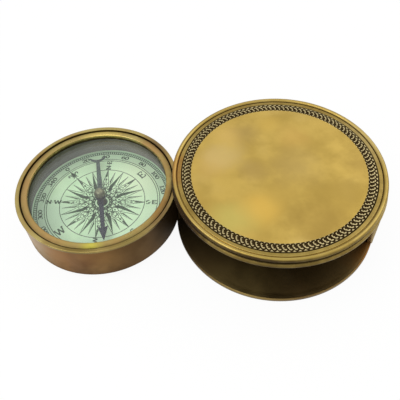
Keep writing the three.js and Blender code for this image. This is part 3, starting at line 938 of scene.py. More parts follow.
def rope_border(s, middle_radius, half_width, ground, rise):
    """Slanted strands of rope, each with three lobes, and the cusps between them."""

    def lift(along, across):
        angle = along * MM / middle_radius
        reach = middle_radius + across * half_width
        return Vector((reach * math.sin(angle), -reach * math.cos(angle), ground))

    bm = new_bmesh()
    for shape in (STRAND, OUTER_CUSP, INNER_CUSP):
        verts, _ = closed_wire(bm, [(x, y, 0.5 * BRIGHT) for x, y in shape], lift)
        bm.faces.new(verts)
    tops = raise_faces(bm, bm.faces[:], rise)
    bevel_edges(bm, list(dict.fromkeys(e for f in tops for e in f.edges)), s.link_round, 1)
    repeat(bm, bm.faces[:], ORIGIN, s.links)
    return bm


def build_pivot():
    """The pin, the washers and the spacer on it."""
    s = bpy.context.scene.compass_case
    middle, _, low, high = span("pivot_pin")
    # Turned bar, hardly touched: a cool, even gleam
    steel = simple_finish(
        "bright_turned_steel", linear("#B9B8B2"), linear("#8E8C86"), 2, 1.0, 0.3, 0.01
    )
    pin = turned(
        middle,
        (0, low),
        (s.pin_head, low),
        (s.pin_shank, s.head_depth),
        (s.pin_shank, high, SMALL_EDGE),
        (0, high),
        steps=SMALL_TURN,
    )
    finish_piece("hinge_pin", pin, steel, "case", "pivot_pin")
    brown = antiqued_brass(middle)
    bore = s.pin_shank + LOOSE_FIT
    edge = 0.12 * MM
    for name, node, finish, slot in (
        ("foot_washer", "pivot_washer", brown, "aged_brass"),
        ("pin_spacer", "pivot_spacer", brown, "aged_brass"),
        ("wave_washer", "spring_washer", steel, "steel"),
    ):
        _, radius, low, high = span(node)
        ring = turned(
            middle,
            (bore, low, 0, DULL),
            (radius, low, edge, DULL),
            (radius, high, edge),
            (bore, high, 0, DULL),
            steps=SMALL_TURN,
        )
        finish_piece(name, ring, finish, "case", node)


def build_cup():
    """The compass's cup, its two rings and the knuckle that it hangs on."""
    s = bpy.context.scene.compass_cup
    middle, radius, low, high = span("compass_case")
    brown = cup_brass(middle)
    bore = radius - s.wall
    dial_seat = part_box("dial_plate")[0].z
    cup = turned(
        middle,
        (0, low, 0, DULL),
        (radius, low, s.foot_round, DULL),
        (radius, high),
        (bore, high, 0, 0.75),
        (bore, dial_seat, 0, DARK),
        (bore - s.seat, dial_seat, 0, DARK),
        (bore - s.seat, low + s.floor, 0, DARK),
        (0, low + s.floor, 0, DARK),
    )
    finish_piece("compass_cup", cup, brown, "compass", "compass_case")

    _, rim_outer, rim_low, rim_high = span("rim_ring")
    rim_bore = bore + s.rim_fit
    # The rim's outer top edge paler than the rest of its top, a painted highlight
    rim = turned(
        middle,
        (rim_bore, rim_low, 0, DARK),
        (rim_outer, rim_low, s.rim_round, DULL),
        (rim_outer, rim_high, s.rim_round, -0.2),
        (rim_bore, rim_high, s.rim_round, 0.3),
        (rim_bore, (rim_low + 2 * rim_high) / 3, 0, 0.6),
    )
    finish_piece("screwed_rim", rim, rim_brass(middle), "compass", "rim_ring")

    _, ring_outer, ring_low, ring_high = span("retaining_ring")
    shoulder = ring_outer - s.ring_step
    ring_inner = ring_outer - s.ring_width
    # The ring darker towards the groove outside it, as painted shade there; its bore and underside
    # dark
    ring = turned(
        middle,
        (ring_inner, ring_low, 0, DARK),
        (ring_outer, ring_low, 0, DARK),
        (ring_outer, ring_low + s.ring_step_height, 0, 0.85),
        (shoulder, ring_low + s.ring_step_height, 0, 0.7),
        (shoulder, ring_high - s.ring_fall, s.ring_edge, 0.5),
        (ring_inner, ring_high, s.ring_inner_edge, 0.0),
        (ring_inner, (ring_low + ring_high) / 2, 0, 0.7),
    )
    finish_piece("glass_ring", ring, ring_brass(middle), "compass", "retaining_ring")
    block = knuckle(s, middle, radius)
    finish_piece("hinge_block", block, brown, "compass", "hinge_knuckle")


def knuckle(s, middle, cup_radius):
    """The block round the pin, flared and hollowed to fit the cup's side."""
    low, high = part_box("hinge_knuckle")
    pin = span("pivot_pin")[0]
    barrel = high.x - pin.x
    hollow = cup_radius + s.joint
    half = barrel + s.knuckle_flare
    root_half = half - s.knuckle_flare * 0.3
    sweep = math.degrees(math.asin(root_half / hollow))
    offset = pin.x - middle.x
    outline = [
        *arc((0, 0), hollow, sweep, -sweep, 12),
        *arc((offset, 0), barrel, -90, 90, 24),
    ]
    hole = arc((offset, 0), s.bore, 0, 360 * 31 / 32, 31)
    bm = new_bmesh()
    loops = []
    for loop in (outline, hole):
        points = [(x, y, PLAIN) for x, y, _, _ in loop]
        loops += closed_wire(bm, points, lambda x, y: middle + Vector((x, y, low.z)))[1]
    filled = bmesh.ops.triangle_fill(bm, use_beauty=True, edges=loops)["geom"]
    faces = [g for g in filled if isinstance(g, bmesh.types.BMFace)]
    raise_faces(bm, faces, high.z - low.z)
    bmesh.ops.recalc_face_normals(bm, faces=bm.faces)
    bmesh.ops.dissolve_limit(
        bm, angle_limit=math.radians(1), verts=bm.verts, edges=bm.edges, delimit={"NORMAL"}
    )
    # All sharp edges but the bore's own
    rims = [
        e
        for e in bm.edges
        if e.calc_face_angle(0) > SHARP_ANGLE
        and min((v.co - pin).xy.length for v in e.verts) > s.bore * 1.2
    ]
    bevel_edges(bm, rims, s.knuckle_edge, 3)
    return bm


def build_glazing():
    """The glass, its seal and the painted ring under it."""
    s = bpy.context.scene.compass_cup
    middle, radius, low, high = span("crystal")
    glass = turned(
        middle,
        (0, low),
        (radius, low, SMALL_EDGE),
        (radius, high, s.glass_edge),
        (0, high),
    )
    finish_piece("glass_disc", glass, clear_glass(), "compass", "crystal")

    _, radius, low, high = span("glass_gasket")
    # Cut from soft sheet: matt and nearly black
    rubber = simple_finish("black_rubber", linear("#242422"), linear("#31312E"), 1.5, 0, 0.8, 0.02)
    edge = 0.08 * MM
    seal = turned(
        middle,
        (radius - s.gasket_width, low, edge),
        (radius, low, edge),
        (radius, high, edge),
        (radius - s.gasket_width, high, edge),
    )
    finish_piece("glass_seal", seal, rubber, "compass", "glass_gasket")

    _, radius, low, high = span("liner_ring")
    inner = radius - s.liner_wall
    # The lip at the foot takes the bright tone, a painted highlight
    liner = turned(
        middle,
        (inner + s.liner_lip, low, 0, BRIGHT),
        (radius, low),
        (radius, high, 0.15 * MM),
        (inner, high, 0.2 * MM),
        (inner, low + 3 * s.liner_lip),
        (inner, low + 2 * s.liner_lip, 0, BRIGHT),
    )
    finish_piece("dial_liner", liner, liner_paint(), "compass", "liner_ring")


def liner_paint():
    """Matt air-dried paint: grey-green and soft, with brush drift, painted shade towards the left,
    and pale at its foot, where a painted highlight lies along the lip.
    """
    s = bpy.context.scene.compass_cup
    material, tree = new_material("matt_liner_paint")
    at = placed(tree, span("liner_ring")[0])
    tone = add(tree, "Attribute", None, "Fac", attribute_name="tone")
    patterns = []
    for size in (12 * MM, 0.25 * MM):
        inputs = {"Vector": at, "Scale": 1 / size, "Detail": 2, "Roughness": DETAIL_SHARE}
        patterns.append(add(tree, "TexNoise", inputs))
    drift, grain = patterns
    # Painted shade: darker towards the left, where the liner's wall is in shade
    shaded = spread(tree, at, -27 * MM, 6 * MM)
    # Painted highlight: the lip at the foot pale, as lit
    pale_lip = [(1 + 2 * c) / 3 for c in bpy.context.scene.compass_dial.card]
    colour = layered(
        tree,
        [c * 0.72 for c in s.liner],
        (drift, 0.35, 0.65, 0, 1, s.liner),
        (shaded, 12 * MM, 44 * MM, 0.7, 0, linear("#55564F")),
        (tone, -0.4, -0.9, 0, 1, pale_lip),
    )
    surface(tree, {"Base Color": colour, "Roughness": 0.6}, grain, 0.2, 0.02)
    return material


# The printed characters, each in a cell one unit tall: its width, then its strokes, which are
# straight ones (x, y, x, y) and bows (x, y, width, height, from, to).
CHARACTERS = {
    "0": (0.70, (0.35, 0.50, 0.27, 0.47, 0, 360)),
    "1": (0.55, (0.30, 0, 0.30, 1), (0.08, 0, 0.50, 0), (0.10, 0.86, 0.30, 1)),
    "2": (
        0.68,
        (0.34, 0.72, 0.24, 0.26, 175, -35),
        (0.54, 0.56, 0.08, 0.02),
        (0.08, 0, 0.62, 0),
        (0.62, 0, 0.64, 0.18),
    ),
    "3": (0.66, (0.31, 0.75, 0.21, 0.23, 150, -90), (0.31, 0.27, 0.26, 0.26, 90, -155)),
    "4": (
        0.74,
        (0.48, 0, 0.48, 1),
        (0.48, 1, 0.06, 0.30),
        (0.06, 0.30, 0.68, 0.30),
        (0.32, 0, 0.64, 0),
    ),
    "6": (0.68, (0.35, 0.30, 0.25, 0.29, 0, 360), (0.62, 0.34, 0.52, 0.62, 98, 178)),
    "8": (0.68, (0.34, 0.74, 0.20, 0.23, 0, 360), (0.34, 0.27, 0.26, 0.27, 0, 360)),
    "E": (
        0.80,
        (0.18, 0, 0.18, 1),
        (0.04, 1, 0.70, 1),
        (0.18, 0.52, 0.50, 0.52),
        (0.04, 0, 0.74, 0),
        (0.70, 1, 0.72, 0.78),
        (0.74, 0, 0.78, 0.24),
        (0.50, 0.64, 0.50, 0.40),
    ),
    "N": (
        0.98,
        (0.18, 0, 0.18, 1),
        (0.18, 1, 0.80, 0),
        (0.80, 0, 0.80, 1),
        (0.04, 0, 0.34, 0),
        (0.02, 1, 0.20, 1),
        (0.64, 1, 0.96, 1),
    ),
    "S": (0.68, (0.34, 0.74, 0.22, 0.24, 30, 245), (0.34, 0.27, 0.25, 0.26, 65, -150)),
    "W": (
        1.34,
        (0.14, 1, 0.42, 0),
        (0.42, 0, 0.68, 1),
        (0.66, 1, 0.94, 0),
        (0.94, 0, 1.20, 1),
        (0, 1, 0.32, 1),
        (1.04, 1, 1.34, 1),
    ),
    ".": (0.30, (0.06, 0.50, 0.24, 0.50)),
}
# Widths of the strokes, upright and level, in the large letters and in the small ones
LARGE_PEN = (0.18, 0.11)
SMALL_PEN = (0.24, 0.15)
NIB_LEAN = math.radians(18)


def bow(x, y, width, height, start, end):
    """Points of a round stroke."""
    steps = max(6, round(abs(end - start) / 18))
    points = []
    for k in range(steps + 1):
        angle = math.radians(start + (end - start) * k / steps)
        points.append((x + width * math.cos(angle), y + height * math.sin(angle)))
    return points


def ribbon(bm, points, width, place):
    """A flat band along some points. width gives its width for a direction of travel."""
    path = [Vector(p) for p in points]
    closed = (path[0] - path[-1]).length < 1e-6
    sides = []
    for i, here in enumerate(path):
        back = path[i - 1] if i else (path[-2] if closed else here)
        on = path[i + 1] if i + 1 < len(path) else (path[1] if closed else here)
        way = (on - back).normalized()
        across = Vector((-way.y, way.x)) * width(way) / 2
        sides.append([bm.verts.new(place(*(here + side))) for side in (across, -across)])
    for (a, b), (c, d) in zip(sides, sides[1:]):
        bm.faces.new((a, b, d, c))


def write(bm, text, centre, turn, height, place, stretch=1.0):
    """Writes a word about a centre, its baseline turned by an angle. A stretched word is bold."""
    stem, hair = LARGE_PEN if stretch == 1 else SMALL_PEN

    def pen(way):
        down = abs(math.sin(math.atan2(way.y, way.x) - NIB_LEAN)) ** 1.5
        return hair + (stem - hair) * down

    spin = Matrix.Rotation(turn, 2)
    start = -sum(CHARACTERS[c][0] for c in text) / 2
    for character in text:
        wide, *strokes = CHARACTERS[character]

        def put(x, y, start=start):
            flat = Vector(((x + start) * stretch, y - 0.5)) * height
            return place(*(Vector(centre) + spin @ flat))

        for stroke in strokes:
            points = [stroke[:2], stroke[2:]] if len(stroke) == 4 else bow(*stroke)
            ribbon(bm, points, pen, put)
        start += wide


def polar(radius, angle):
    """A flat point by radius and angle."""
    return (radius * math.cos(angle), radius * math.sin(angle))


def circle_line(bm, radius, width, place, steps=180):
    """A printed circle."""
    ring = [polar(radius, math.tau * k / steps) for k in range(steps + 1)]
    ribbon(bm, ring, lambda way: width, place)


def printed(name, draw, ink):
    """One printed layer of the dial: draw puts flat faces on the card, and ink thickens them."""
    s = bpy.context.scene.compass_dial
    middle, _, _, top = span("dial_card")
    bm = new_bmesh()

    def place(x, y):
        return Vector((middle.x + x, middle.y + y, top))

    draw(s, bm, place)
    raise_faces(bm, bm.faces[:], s.ink_height)
    return finish_piece(name, bm, ink, "compass", "dial_card")


def draw_scale(s, bm, place):
    """The ring of degree ticks and the printed circles."""
    for radius in (s.rose, s.inner_circle, s.outer_circle, s.scale_inner, s.scale_outer):
        circle_line(bm, radius, s.line, place)
    before = set(bm.faces)
    ribbon(bm, [(s.scale_inner, 0), (s.scale_outer, 0)], lambda way: 1.5 * s.line, place)
    repeat(bm, [f for f in bm.faces if f not in before], place(0, 0), s.ticks)


def draw_numbers(s, bm, place):
    """The degree numbers, clockwise from north, with their tops outwards."""
    for value in range(0, 360, s.number_step):
        angle = s.north - math.radians(value)
        centre = polar(s.numbers, angle)
        write(bm, str(value), centre, angle - math.pi / 2, s.number_height, place, s.stretch)


def draw_winds(s, bm, place):
    """The letters of the winds, and a lily at north."""
    upright = s.north - math.pi / 2
    for letter, turn in (("E", 90), ("S", 180), ("W", 270)):
        centre = polar(s.winds, s.north - math.radians(turn))
        write(bm, letter, centre, upright, s.wind_height, place)
    for word, turn, flip in (
        ("N.E", 45, 0),
        ("S.E", 135, 0),
        ("S.W", 225, math.pi),
        ("N.W", 315, math.pi),
    ):
        angle = s.north - math.radians(turn)
        centre = polar(s.half_winds, angle)
        write(bm, word, centre, angle + flip, s.half_wind_height, place, s.stretch)
    lily(s, bm, place)


def lily(s, bm, place):
    """A plain fleur-de-lis that stands on north."""
    spin = Matrix.Rotation(s.north - math.pi / 2, 2)
    root = Vector((0, s.rose + 1.0 * MM))

    def put(x, y):
        return place(*(spin @ (root + Vector((x, y)) * MM)))

    leaf = [(0, 4.1), (0.5, 3.0), (0.62, 2.1), (0.34, 1.3), (-0.34, 1.3), (-0.62, 2.1), (-0.5, 3.0)]
    bm.faces.new([bm.verts.new(put(x, y)) for x, y in leaf])
    for side in (-1, 1):
        petal = [(0.4, 1.3), (0.8, 2.15), (1.3, 2.8), (1.85, 2.75), (2.1, 2.2), (1.75, 1.7)]
        ribbon(bm, [(side * x, y) for x, y in petal], lambda way: 0.5, put)
        foot = [(0.3, 1.0), (0.6, 0.45), (1.15, 0.2)]
        ribbon(bm, [(side * x, y) for x, y in foot], lambda way: 0.34, put)
    ribbon(bm, [(-1.05, 1.15), (1.05, 1.15)], lambda way: 0.32, put)
    ribbon(bm, [(0, 1.0), (0, -1.0)], lambda way: 0.34, put)
    ribbon(bm, [(0, 4.0), (0, 5.7)], lambda way: 0.2, put)


def fan(s, bm, place, times, offset, draw):
    """Draws one ray along +X, in millimetres, and repeats it round the rose."""
    spin = Matrix.Rotation(s.north + offset, 2)
    before = set(bm.faces)

    def put(x, y):
        return place(*(spin @ (Vector((x, y)) * MM)))

    draw(bm, put)
    repeat(bm, [f for f in bm.faces if f not in before], place(0, 0), times)


def face(bm, put, points):
    """One printed patch."""
    bm.faces.new([bm.verts.new(put(x, y)) for x, y in points])


def line(bm, put, points, width):
    """One printed line."""
    ribbon(bm, points, lambda way: width, put)


def main_ray(bm, put):
    """A main ray: outlined on both sides, with a lozenge, two leaves and some hatching."""
    face(bm, put, [(16.8, 0.02), (13.6, 0.52), (12.5, 0.02), (13.6, -0.26)])
    face(bm, put, [(12.4, 0), (11.6, 0.38), (10.7, 0), (11.6, -0.38)])
    for side in (-1, 1):
        line(bm, put, [(16.8, 0), (8.0, 1.45 * side), (6.3, 0.2 * side)], 0.25)
        line(bm, put, [(10.6, 0.05 * side), (9.7, 0.62 * side), (8.9, 0.5 * side)], 0.22)
        line(bm, put, [(9.3, 0), (8.2, 0.75 * side), (7.6, 0.35 * side)], 0.2)
    for out in (11.2, 12.0, 12.8):
        line(bm, put, [(out, 0.45), (out + 0.5, 0.75 - (out - 11.2) * 0.16)], 0.18)


def half_ray(bm, put):
    """A bold ray between two main ones: one half solid, the other outlined."""
    face(bm, put, [(16.6, 0.05), (8.2, 1.5), (6.2, 0.9), (5.4, 0.2), (5.6, -0.1)])
    line(bm, put, [(16.6, 0), (8.2, -1.35), (6.6, 0)], 0.22)
    line(bm, put, [(10.2, -0.1), (8.3, -0.85)], 0.14)


def thin_ray(bm, put):
    """A short needle-like ray, one half solid."""
    face(bm, put, [(15.8, 0.03), (10.6, 0.62), (9.4, -0.03)])
    line(bm, put, [(15.8, 0), (10.6, -0.45), (9.4, 0)], 0.16)


def tiles(bm, put, *lozenges):
    """Printed lozenges on the ray's middle line, each by its place, length and width."""
    for x, along, wide in lozenges:
        face(bm, put, [(x + along / 2, 0), (x, wide / 2), (x - along / 2, 0), (x, -wide / 2)])


def star_tiles(bm, put):
    """The star at the rose's heart: lozenges inside a net of crossing lines."""
    tiles(bm, put, (4.0, 1.3, 0.6), (5.3, 0.9, 0.6), (7.3, 1.2, 0.6))
    for side in (-1, 1):
        line(bm, put, [(3.2, 0.1 * side), (4.9, 0.95 * side), (6.7, 0.1 * side)], 0.4)
        line(bm, put, [(6.7, 0.1 * side), (8.2, 1.2 * side)], 0.24)
    face(bm, put, [(9.2, 0.75), (8.8, 1.05), (8.2, 0.8), (8.7, 0.6)])


def gap_tiles(bm, put):
    """Tiles in the gaps between the star's points."""
    tiles(bm, put, (3.7, 0.7, 0.5), (5.2, 1.1, 0.8), (6.7, 1.1, 0.7))


def draw_rose(s, bm, place):
    """The compass rose: eight main rays, eight bold ones, sixteen thin ones and a tiled star."""
    eighth = math.tau / 8
    fan(s, bm, place, 8, 0, main_ray)
    fan(s, bm, place, 8, eighth / 2, half_ray)
    fan(s, bm, place, 16, eighth / 4, thin_ray)
    fan(s, bm, place, 16, 0, star_tiles)
    fan(s, bm, place, 16, eighth / 4, gap_tiles)
    for radius, width in ((1.6, 1.1), (3.0, 0.45), (9.3, 0.16)):
        circle_line(bm, radius * MM, width * MM, place, 64)


def coated_card():
    """Coated card with a printed tint: pale green, greyer under the numbers, with faint clouds,
    darker at the left and front, and paler at the upper right.
    """
    s = bpy.context.scene.compass_dial
    material, tree = new_material("coated_green_card")
    at = placed(tree, span("dial_card")[0])
    patterns = []
    for size in (14 * MM, 0.4 * MM):
        inputs = {"Vector": at, "Scale": 1 / size, "Detail": 2, "Roughness": DETAIL_SHARE}
        patterns.append(add(tree, "TexNoise", inputs))
    clouds, grain = patterns
    layers = [(clouds, 0.35, 0.65, 0, 1, s.card)]
    # Darker at the left and the front, paler at the upper right
    for x, y, radius, stain, strength in (
        (-19, -8, 15, "#B4CDB0", 0.8),
        (0, -22, 11, "#BED8BC", 0.7),
        (14, 13, 16, "#E4F4CE", 0.8),
    ):
        radius *= MM
        out = spread(tree, at, x * MM, y * MM)
        layers.append((out, radius * 0.2, radius, strength, 0, linear(stain)))
    # Two steps of the printed tint: under the numbers, and under the scale
    out = spread(tree, at, 0, 0)
    blur = 0.05 * MM
    for radius, strength in ((s.outer_circle, 0.5), (s.scale_inner, 0.9)):
        layers.append((out, radius - blur, radius + blur, 0, strength, s.scale_tint))
    colour = layered(tree, s.card_dull, *layers)
    inputs = {"Base Color": colour, "Roughness": 0.55, "Coat Weight": 0.15}
    surface(tree, inputs, grain, 0.15, 0.01)
    return material


def printing_ink():
    """Letterpress ink: a soft grey green, a little lighter where the card shows through."""
    s = bpy.context.scene.compass_dial
    lighter = [c * 1.35 for c in s.ink]
    return simple_finish("letterpress_ink", s.ink, lighter, 1.2, 0, 0.5, 0.004)


def build_dial():
    """The card and its printed layers."""
    middle, radius, low, high = span("dial_card")
    # The needle's post comes up through this
    hole = 0.9 * MM
    card = turned(middle, (hole, low), (radius, low), (radius, high, FINE_EDGE), (hole, high))
    finish_piece("printed_card", card, coated_card(), "compass", "dial_card")
    ink = printing_ink()
    printed("dial_scale", draw_scale, ink)
    printed("dial_numbers", draw_numbers, ink)
    printed("dial_winds", draw_winds, ink)
    printed("dial_rose", draw_rose, ink)


def blued_steel():
    """Spring steel, heat-blued at the arrow and left grey at the crescent."""
    s = bpy.context.scene.compass_needle
    material, tree = new_material("heat_blued_steel")
    at = placed(tree, span("needle_hub")[0])
    way = (math.cos(s.heading), math.sin(s.heading), 0)
    along = add(tree, "VectorMath", {0: at, 1: way}, "Value", operation="DOT_PRODUCT")
    inputs = {"Vector": at, "Scale": 1 / (2.5 * MM), "Detail": 3, "Roughness": DETAIL_SHARE}
    patches = add(tree, "TexNoise", inputs)
    colour = layered(
        tree,
        [c * 0.6 for c in s.straw],
        (patches, 0.35, 0.7, 0, 1, s.straw),
        (along, -4 * MM, 2 * MM, 0, 1, s.blued),
    )
    rough = add(tree, "MapRange", {0: patches, 1: 0.3, 2: 0.7, 3: 0.3, 4: 0.45}, **SOFT)
    inputs = {"Base Color": colour, "Metallic": 0.7, "Roughness": rough}
    add(tree, "OutputMaterial", {"Surface": add(tree, "BsdfPrincipled", inputs)})
    return material


def needle_outline(s):
    """Half of the needle's outline, from the arrow's tip to the crescent, arrow towards +X."""
    root = s.half_length - s.arrow_length
    crescent_x = -s.half_length - s.crescent * math.cos(s.horn)
    start = math.degrees(math.asin(s.shaft / 2 / s.crescent))
    inner_horn = math.acos(math.cos(s.horn) + s.crescent_width / s.crescent)
    inner_x = crescent_x - s.crescent_width
    return [
        (s.half_length, 0),
        (root - s.arrow_barb, s.arrow_width / 2),
        (root, s.shaft / 2),
        (s.neck, s.waist / 2),
        (-s.neck, s.waist / 2),
        *arc((crescent_x, 0), s.crescent, start, math.degrees(s.horn), 12),
        *arc((inner_x, 0), s.crescent, math.degrees(inner_horn), 0, 10),
    ]


def build_needle():
    """The blade with its arrow and crescent, and the turned hub on it."""
    s = bpy.context.scene.compass_needle
    low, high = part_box("needle_blade")
    middle = span("needle_hub")[0]
    spin = Matrix.Rotation(s.heading, 3, "Z")
    bm = new_bmesh()
    half = [point[:2] for point in needle_outline(s)]
    points = [(x, y, PLAIN) for x, y in half + [(x, -y) for x, y in half[-2:0:-1]]]
    verts, _ = closed_wire(bm, points, lambda x, y: middle + spin @ Vector((x, y, 0)) + UP * low.z)
    blade = bm.faces.new(verts)
    blade.normal_update()
    bmesh.ops.triangulate(bm, faces=[blade])
    raise_faces(bm, bm.faces[:], high.z - low.z)
    bmesh.ops.recalc_face_normals(bm, faces=bm.faces)
    edges = [
        e
        for e in bm.edges
        if e.calc_face_angle(0) > SQUARE_ANGLE
        and abs(e.verts[0].co.z - e.verts[1].co.z) < WELD
    ]
    bevel_edges(bm, edges, s.edge, 1)
    steel = blued_steel()
    finish_piece("needle_arm", bm, steel, "needle", "needle_blade")
    bore = s.neck + CLOSE_FIT
    under, over = low.z - 0.02 * MM, high.z + 0.02 * MM
    eye = turned(
        middle,
        (bore, under),
        (s.flange, under, FINE_EDGE),
        (s.flange, over, FINE_EDGE),
        (bore, over),
        steps=SMALL_TURN,
    )
    finish_piece("needle_eye", eye, steel, "needle", "needle_blade")

    _, radius, hub_low, hub_high = span("needle_hub")
    jewel_radius, jewel_top = span("needle_jewel")[1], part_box("needle_jewel")[1].z
    bore = jewel_radius + CLOSE_FIT
    skirt_top = high.z + s.skirt
    dome = hub_high + s.cap_rise
    hub = turned(
        middle,
        (0, jewel_top, 0, DARK),
        (bore, jewel_top, 0, DARK),
        (bore, hub_low, 0, DARK),
        (s.flange, hub_low, FINE_EDGE, DULL),
        (s.flange, low.z, 0, DULL),
        (s.neck, low.z, 0, DULL),
        (s.neck, high.z, 0, DULL),
        (s.foot, high.z, FINE_EDGE, DARK),
        (s.foot, high.z + 0.4 * MM, 0.3 * MM, 0.7),
        (radius + s.cap_spread, skirt_top, 0.5 * MM, 0.3),
        (s.tip * 1.6 + s.cap_spread, dome - s.tip * 0.6, 0.8 * MM, 0.2),
        (s.tip * 0.8 + s.cap_spread, dome, 0.3 * MM, 0.0),
        (0, dome, 0, 0.0),
        steps=SMALL_TURN,
    )
    grey = hub_brass("greyed_hub_brass", middle)
    finish_piece("needle_cap", hub, grey, "needle", "needle_hub")


def dress_frame_nodes():
    """Materials for the frame's own pieces that stay: the dial plate, the post and the jewel."""
    middle = span("compass_case")[0]
    # Cut and polished garnet: dark red and glossy
    jewel = simple_finish(
        "garnet_jewel", linear("#7C2B3A"), linear("#5E1F2C"), 0.6, 0, 0.12, 0.002
    )
    # Hardened and honed: a small bright gleam
    point = simple_finish(
        "hardened_steel_point", linear("#A9A9A6"), linear("#8C8C8A"), 1, 1.0, 0.25, 0.003
    )
    for node, material in (
        ("dial_plate", antiqued_brass(middle)),
        # The post darkened as painted shade: it stands in shade under the needle
        ("needle_post", hub_brass("post_brass_in_painted_shade", middle, 0.3)),
        ("needle_point", point),
        ("needle_jewel", jewel),
    ):
        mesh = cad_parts[node].data
        mesh.materials.clear()
        mesh.materials.append(material)


# Half the width of the floor, and the place that the lamps look at
FLOOR_SIZE = 3.0
LAMP_AIM = Vector((-0.03, 0, 0.01))


def build_stage():
    """The camera, the floor, the world and the lamps."""
    s = bpy.context.scene.compass_stage
    scene = bpy.context.scene
    aim = Vector((s.aim_x, s.aim_y, 0))
    flat = math.cos(s.elevation)
    back = Vector((math.sin(s.azimuth) * flat, -math.cos(s.azimuth) * flat, math.sin(s.elevation)))
    right = Vector((math.cos(s.azimuth), math.sin(s.azimuth), 0))
    up = back.cross(right)
    rolled = right * math.cos(s.roll) + up * math.sin(s.roll)
    upright = up * math.cos(s.roll) - right * math.sin(s.roll)
    camera = bpy.data.objects.new("Camera", bpy.data.cameras.new("Camera"))
    camera.data.lens = s.lens
    camera.data.clip_start = 0.01
    scene.collection.objects.link(camera)
    place = Matrix((rolled, upright, back)).transposed().to_4x4()
    place.translation = aim + back * s.distance
    camera.matrix_world = place
    scene.camera = camera
    scene.view_settings.view_transform = "Standard"

    floor = bmesh.new()
    bmesh.ops.create_grid(floor, x_segments=1, y_segments=1, size=FLOOR_SIZE)
    mesh = bpy.data.meshes.new("floor")
    floor.to_mesh(mesh)
    floor.free()
    floor_obj = bpy.data.objects.new("floor", mesh)
    scene.collection.objects.link(floor_obj)
    mesh.materials.append(floor_paper(s))

    world = bpy.data.worlds.new("studio")
    scene.world = world
    world.use_nodes = True
    tree = world.node_tree
    tree.nodes.clear()
    height = add(tree, "SeparateXYZ", {0: add(tree, "TexCoord", output="Generated")}, "Z")
    sky = layered(tree, linear("#B9B7B2"), (height, 0, 0.6, 0, 1, linear("#FFFFFF")))
    light = add(tree, "Background", {"Color": sky, "Strength": s.world})
    white = add(tree, "Background", {"Color": linear("#FFFFFF"), "Strength": 1.0})
    camera_ray = add(tree, "LightPath", output="Is Camera Ray")
    mixed = add(tree, "MixShader", {0: camera_ray, 1: light, 2: white})
    add(tree, "OutputWorld", {"Surface": mixed})

    add_lamp("key", (-0.25, -0.12, 0.45), 0.3, s.key)
    add_lamp("fill", (0.3, 0.25, 0.4), 0.35, s.key * 0.5)


def add_lamp(name, place, size, power):
    """A soft square lamp that looks at the object."""
    data = bpy.data.lights.new(name, "AREA")
    data.size = size
    data.energy = power
    lamp = bpy.data.objects.new(name, data)
    lamp.location = place
    lamp.rotation_mode = "QUATERNION"
    lamp.rotation_quaternion = (LAMP_AIM - Vector(place)).to_track_quat("-Z", "Y")
    bpy.context.scene.collection.objects.link(lamp)


def floor_paper(s):
    """White paper that shows as plain white, and still takes the object's shadow."""
    material, tree = new_material("white_paper")
    path = add(tree, "LightPath").node.outputs
    seen = path["Is Camera Ray"]
    for ray in ("Is Glossy Ray", "Is Transmission Ray"):
        seen = add(tree, "Math", {0: seen, 1: path[ray]}, operation="MAXIMUM")
    factor = add(tree, "Math", {0: seen, 1: s.floor_glow}, operation="MULTIPLY")
    paper = add(tree, "BsdfDiffuse", {"Color": s.floor})
    white = add(tree, "Emission", {"Color": linear("#FFFFFF"), "Strength": 1.0})
    mixed = add(tree, "MixShader", {0: factor, 1: paper, 2: white})
    add(tree, "OutputMaterial", {"Surface": mixed})
    return material


class COMPASS_OT_case(bpy.types.Operator):
    """Build the base plate and the curved wall"""

    bl_idname = "compass.build_case"
    bl_label = "Case"

    def execute(self, context):
        build_case()
        return {"FINISHED"}


class COMPASS_OT_lid(bpy.types.Operator):
    """Build the lid's ring, its plate and the rope border"""

    bl_idname = "compass.build_lid"
    bl_label = "Lid"

    def execute(self, context):
        build_lid()
        return {"FINISHED"}


class COMPASS_OT_pivot(bpy.types.Operator):
    """Build the hinge pin with its washers and spacer"""

    bl_idname = "compass.build_pivot"
    bl_label = "Pivot"

    def execute(self, context):
        build_pivot()
        return {"FINISHED"}


class COMPASS_OT_cup(bpy.types.Operator):
    """Build the compass's cup, its rings and the hinge block"""

    bl_idname = "compass.build_cup"
    bl_label = "Compass cup"

    def execute(self, context):
        build_cup()
        return {"FINISHED"}


class COMPASS_OT_glazing(bpy.types.Operator):
    """Build the glass, its seal and the painted ring"""

    bl_idname = "compass.build_glazing"
    bl_label = "Glazing"

    def execute(self, context):
        build_glazing()
        return {"FINISHED"}


class COMPASS_OT_dial(bpy.types.Operator):
    """Build the printed dial"""

    bl_idname = "compass.build_dial"
    bl_label = "Dial"

    def execute(self, context):
        build_dial()
        return {"FINISHED"}


class COMPASS_OT_needle(bpy.types.Operator):
    """Build the needle"""

    bl_idname = "compass.build_needle"
    bl_label = "Needle"

    def execute(self, context):
        build_needle()
        return {"FINISHED"}


class COMPASS_OT_frame_finish(bpy.types.Operator):
    """Give the frame's own pieces their finishes"""

    bl_idname = "compass.finish_frame"
    bl_label = "Frame finishes"

    def execute(self, context):
        dress_frame_nodes()
        return {"FINISHED"}


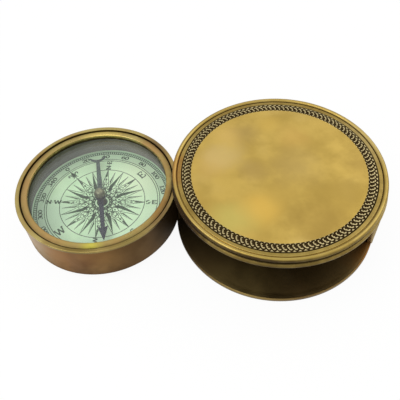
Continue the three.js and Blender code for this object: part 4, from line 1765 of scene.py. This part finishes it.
class COMPASS_OT_stage(bpy.types.Operator):
    """Set up the camera, the floor and the light"""

    bl_idname = "compass.build_stage"
    bl_label = "Stage"

    def execute(self, context):
        build_stage()
        return {"FINISHED"}


OPERATORS = (
    COMPASS_OT_stage,
    COMPASS_OT_case,
    COMPASS_OT_lid,
    COMPASS_OT_pivot,
    COMPASS_OT_cup,
    COMPASS_OT_glazing,
    COMPASS_OT_dial,
    COMPASS_OT_needle,
    COMPASS_OT_frame_finish,
)


class COMPASS_PT_panel(bpy.types.Panel):
    """Lists the settings and the steps of the compass"""

    bl_label = "Folding compass"
    bl_idname = "COMPASS_PT_panel"
    bl_space_type = "VIEW_3D"
    bl_region_type = "UI"
    bl_category = "Compass"

    def draw(self, context):
        layout = self.layout
        for operator in OPERATORS:
            layout.operator(operator.bl_idname)
        for name in SETTINGS:
            box = layout.box()
            group = getattr(context.scene, name)
            for key in group.__annotations__:
                box.prop(group, key)


SETTINGS = {
    "compass_case": CaseSettings,
    "compass_lid": LidSettings,
    "compass_cup": CompassSettings,
    "compass_dial": DialSettings,
    "compass_needle": NeedleSettings,
    "compass_stage": StageSettings,
}


def register():
    """Registers the settings, the operators and the panel."""
    for name, group in SETTINGS.items():
        bpy.utils.register_class(group)
        setattr(bpy.types.Scene, name, bpy.props.PointerProperty(type=group))
    for cls in (*OPERATORS, COMPASS_PT_panel):
        bpy.utils.register_class(cls)


def unregister():
    """Takes them out again."""
    for cls in (COMPASS_PT_panel, *reversed(OPERATORS)):
        bpy.utils.unregister_class(cls)
    for name, group in reversed(SETTINGS.items()):
        delattr(bpy.types.Scene, name)
        bpy.utils.unregister_class(group)


def main():
    """Builds everything in order."""
    register()
    bpy.ops.compass.build_stage()
    bpy.ops.compass.build_case()
    bpy.ops.compass.build_lid()
    bpy.ops.compass.build_pivot()
    bpy.ops.compass.build_cup()
    bpy.ops.compass.build_glazing()
    bpy.ops.compass.build_dial()
    bpy.ops.compass.build_needle()
    bpy.ops.compass.finish_frame()


if __name__ == "__main__":
    main()
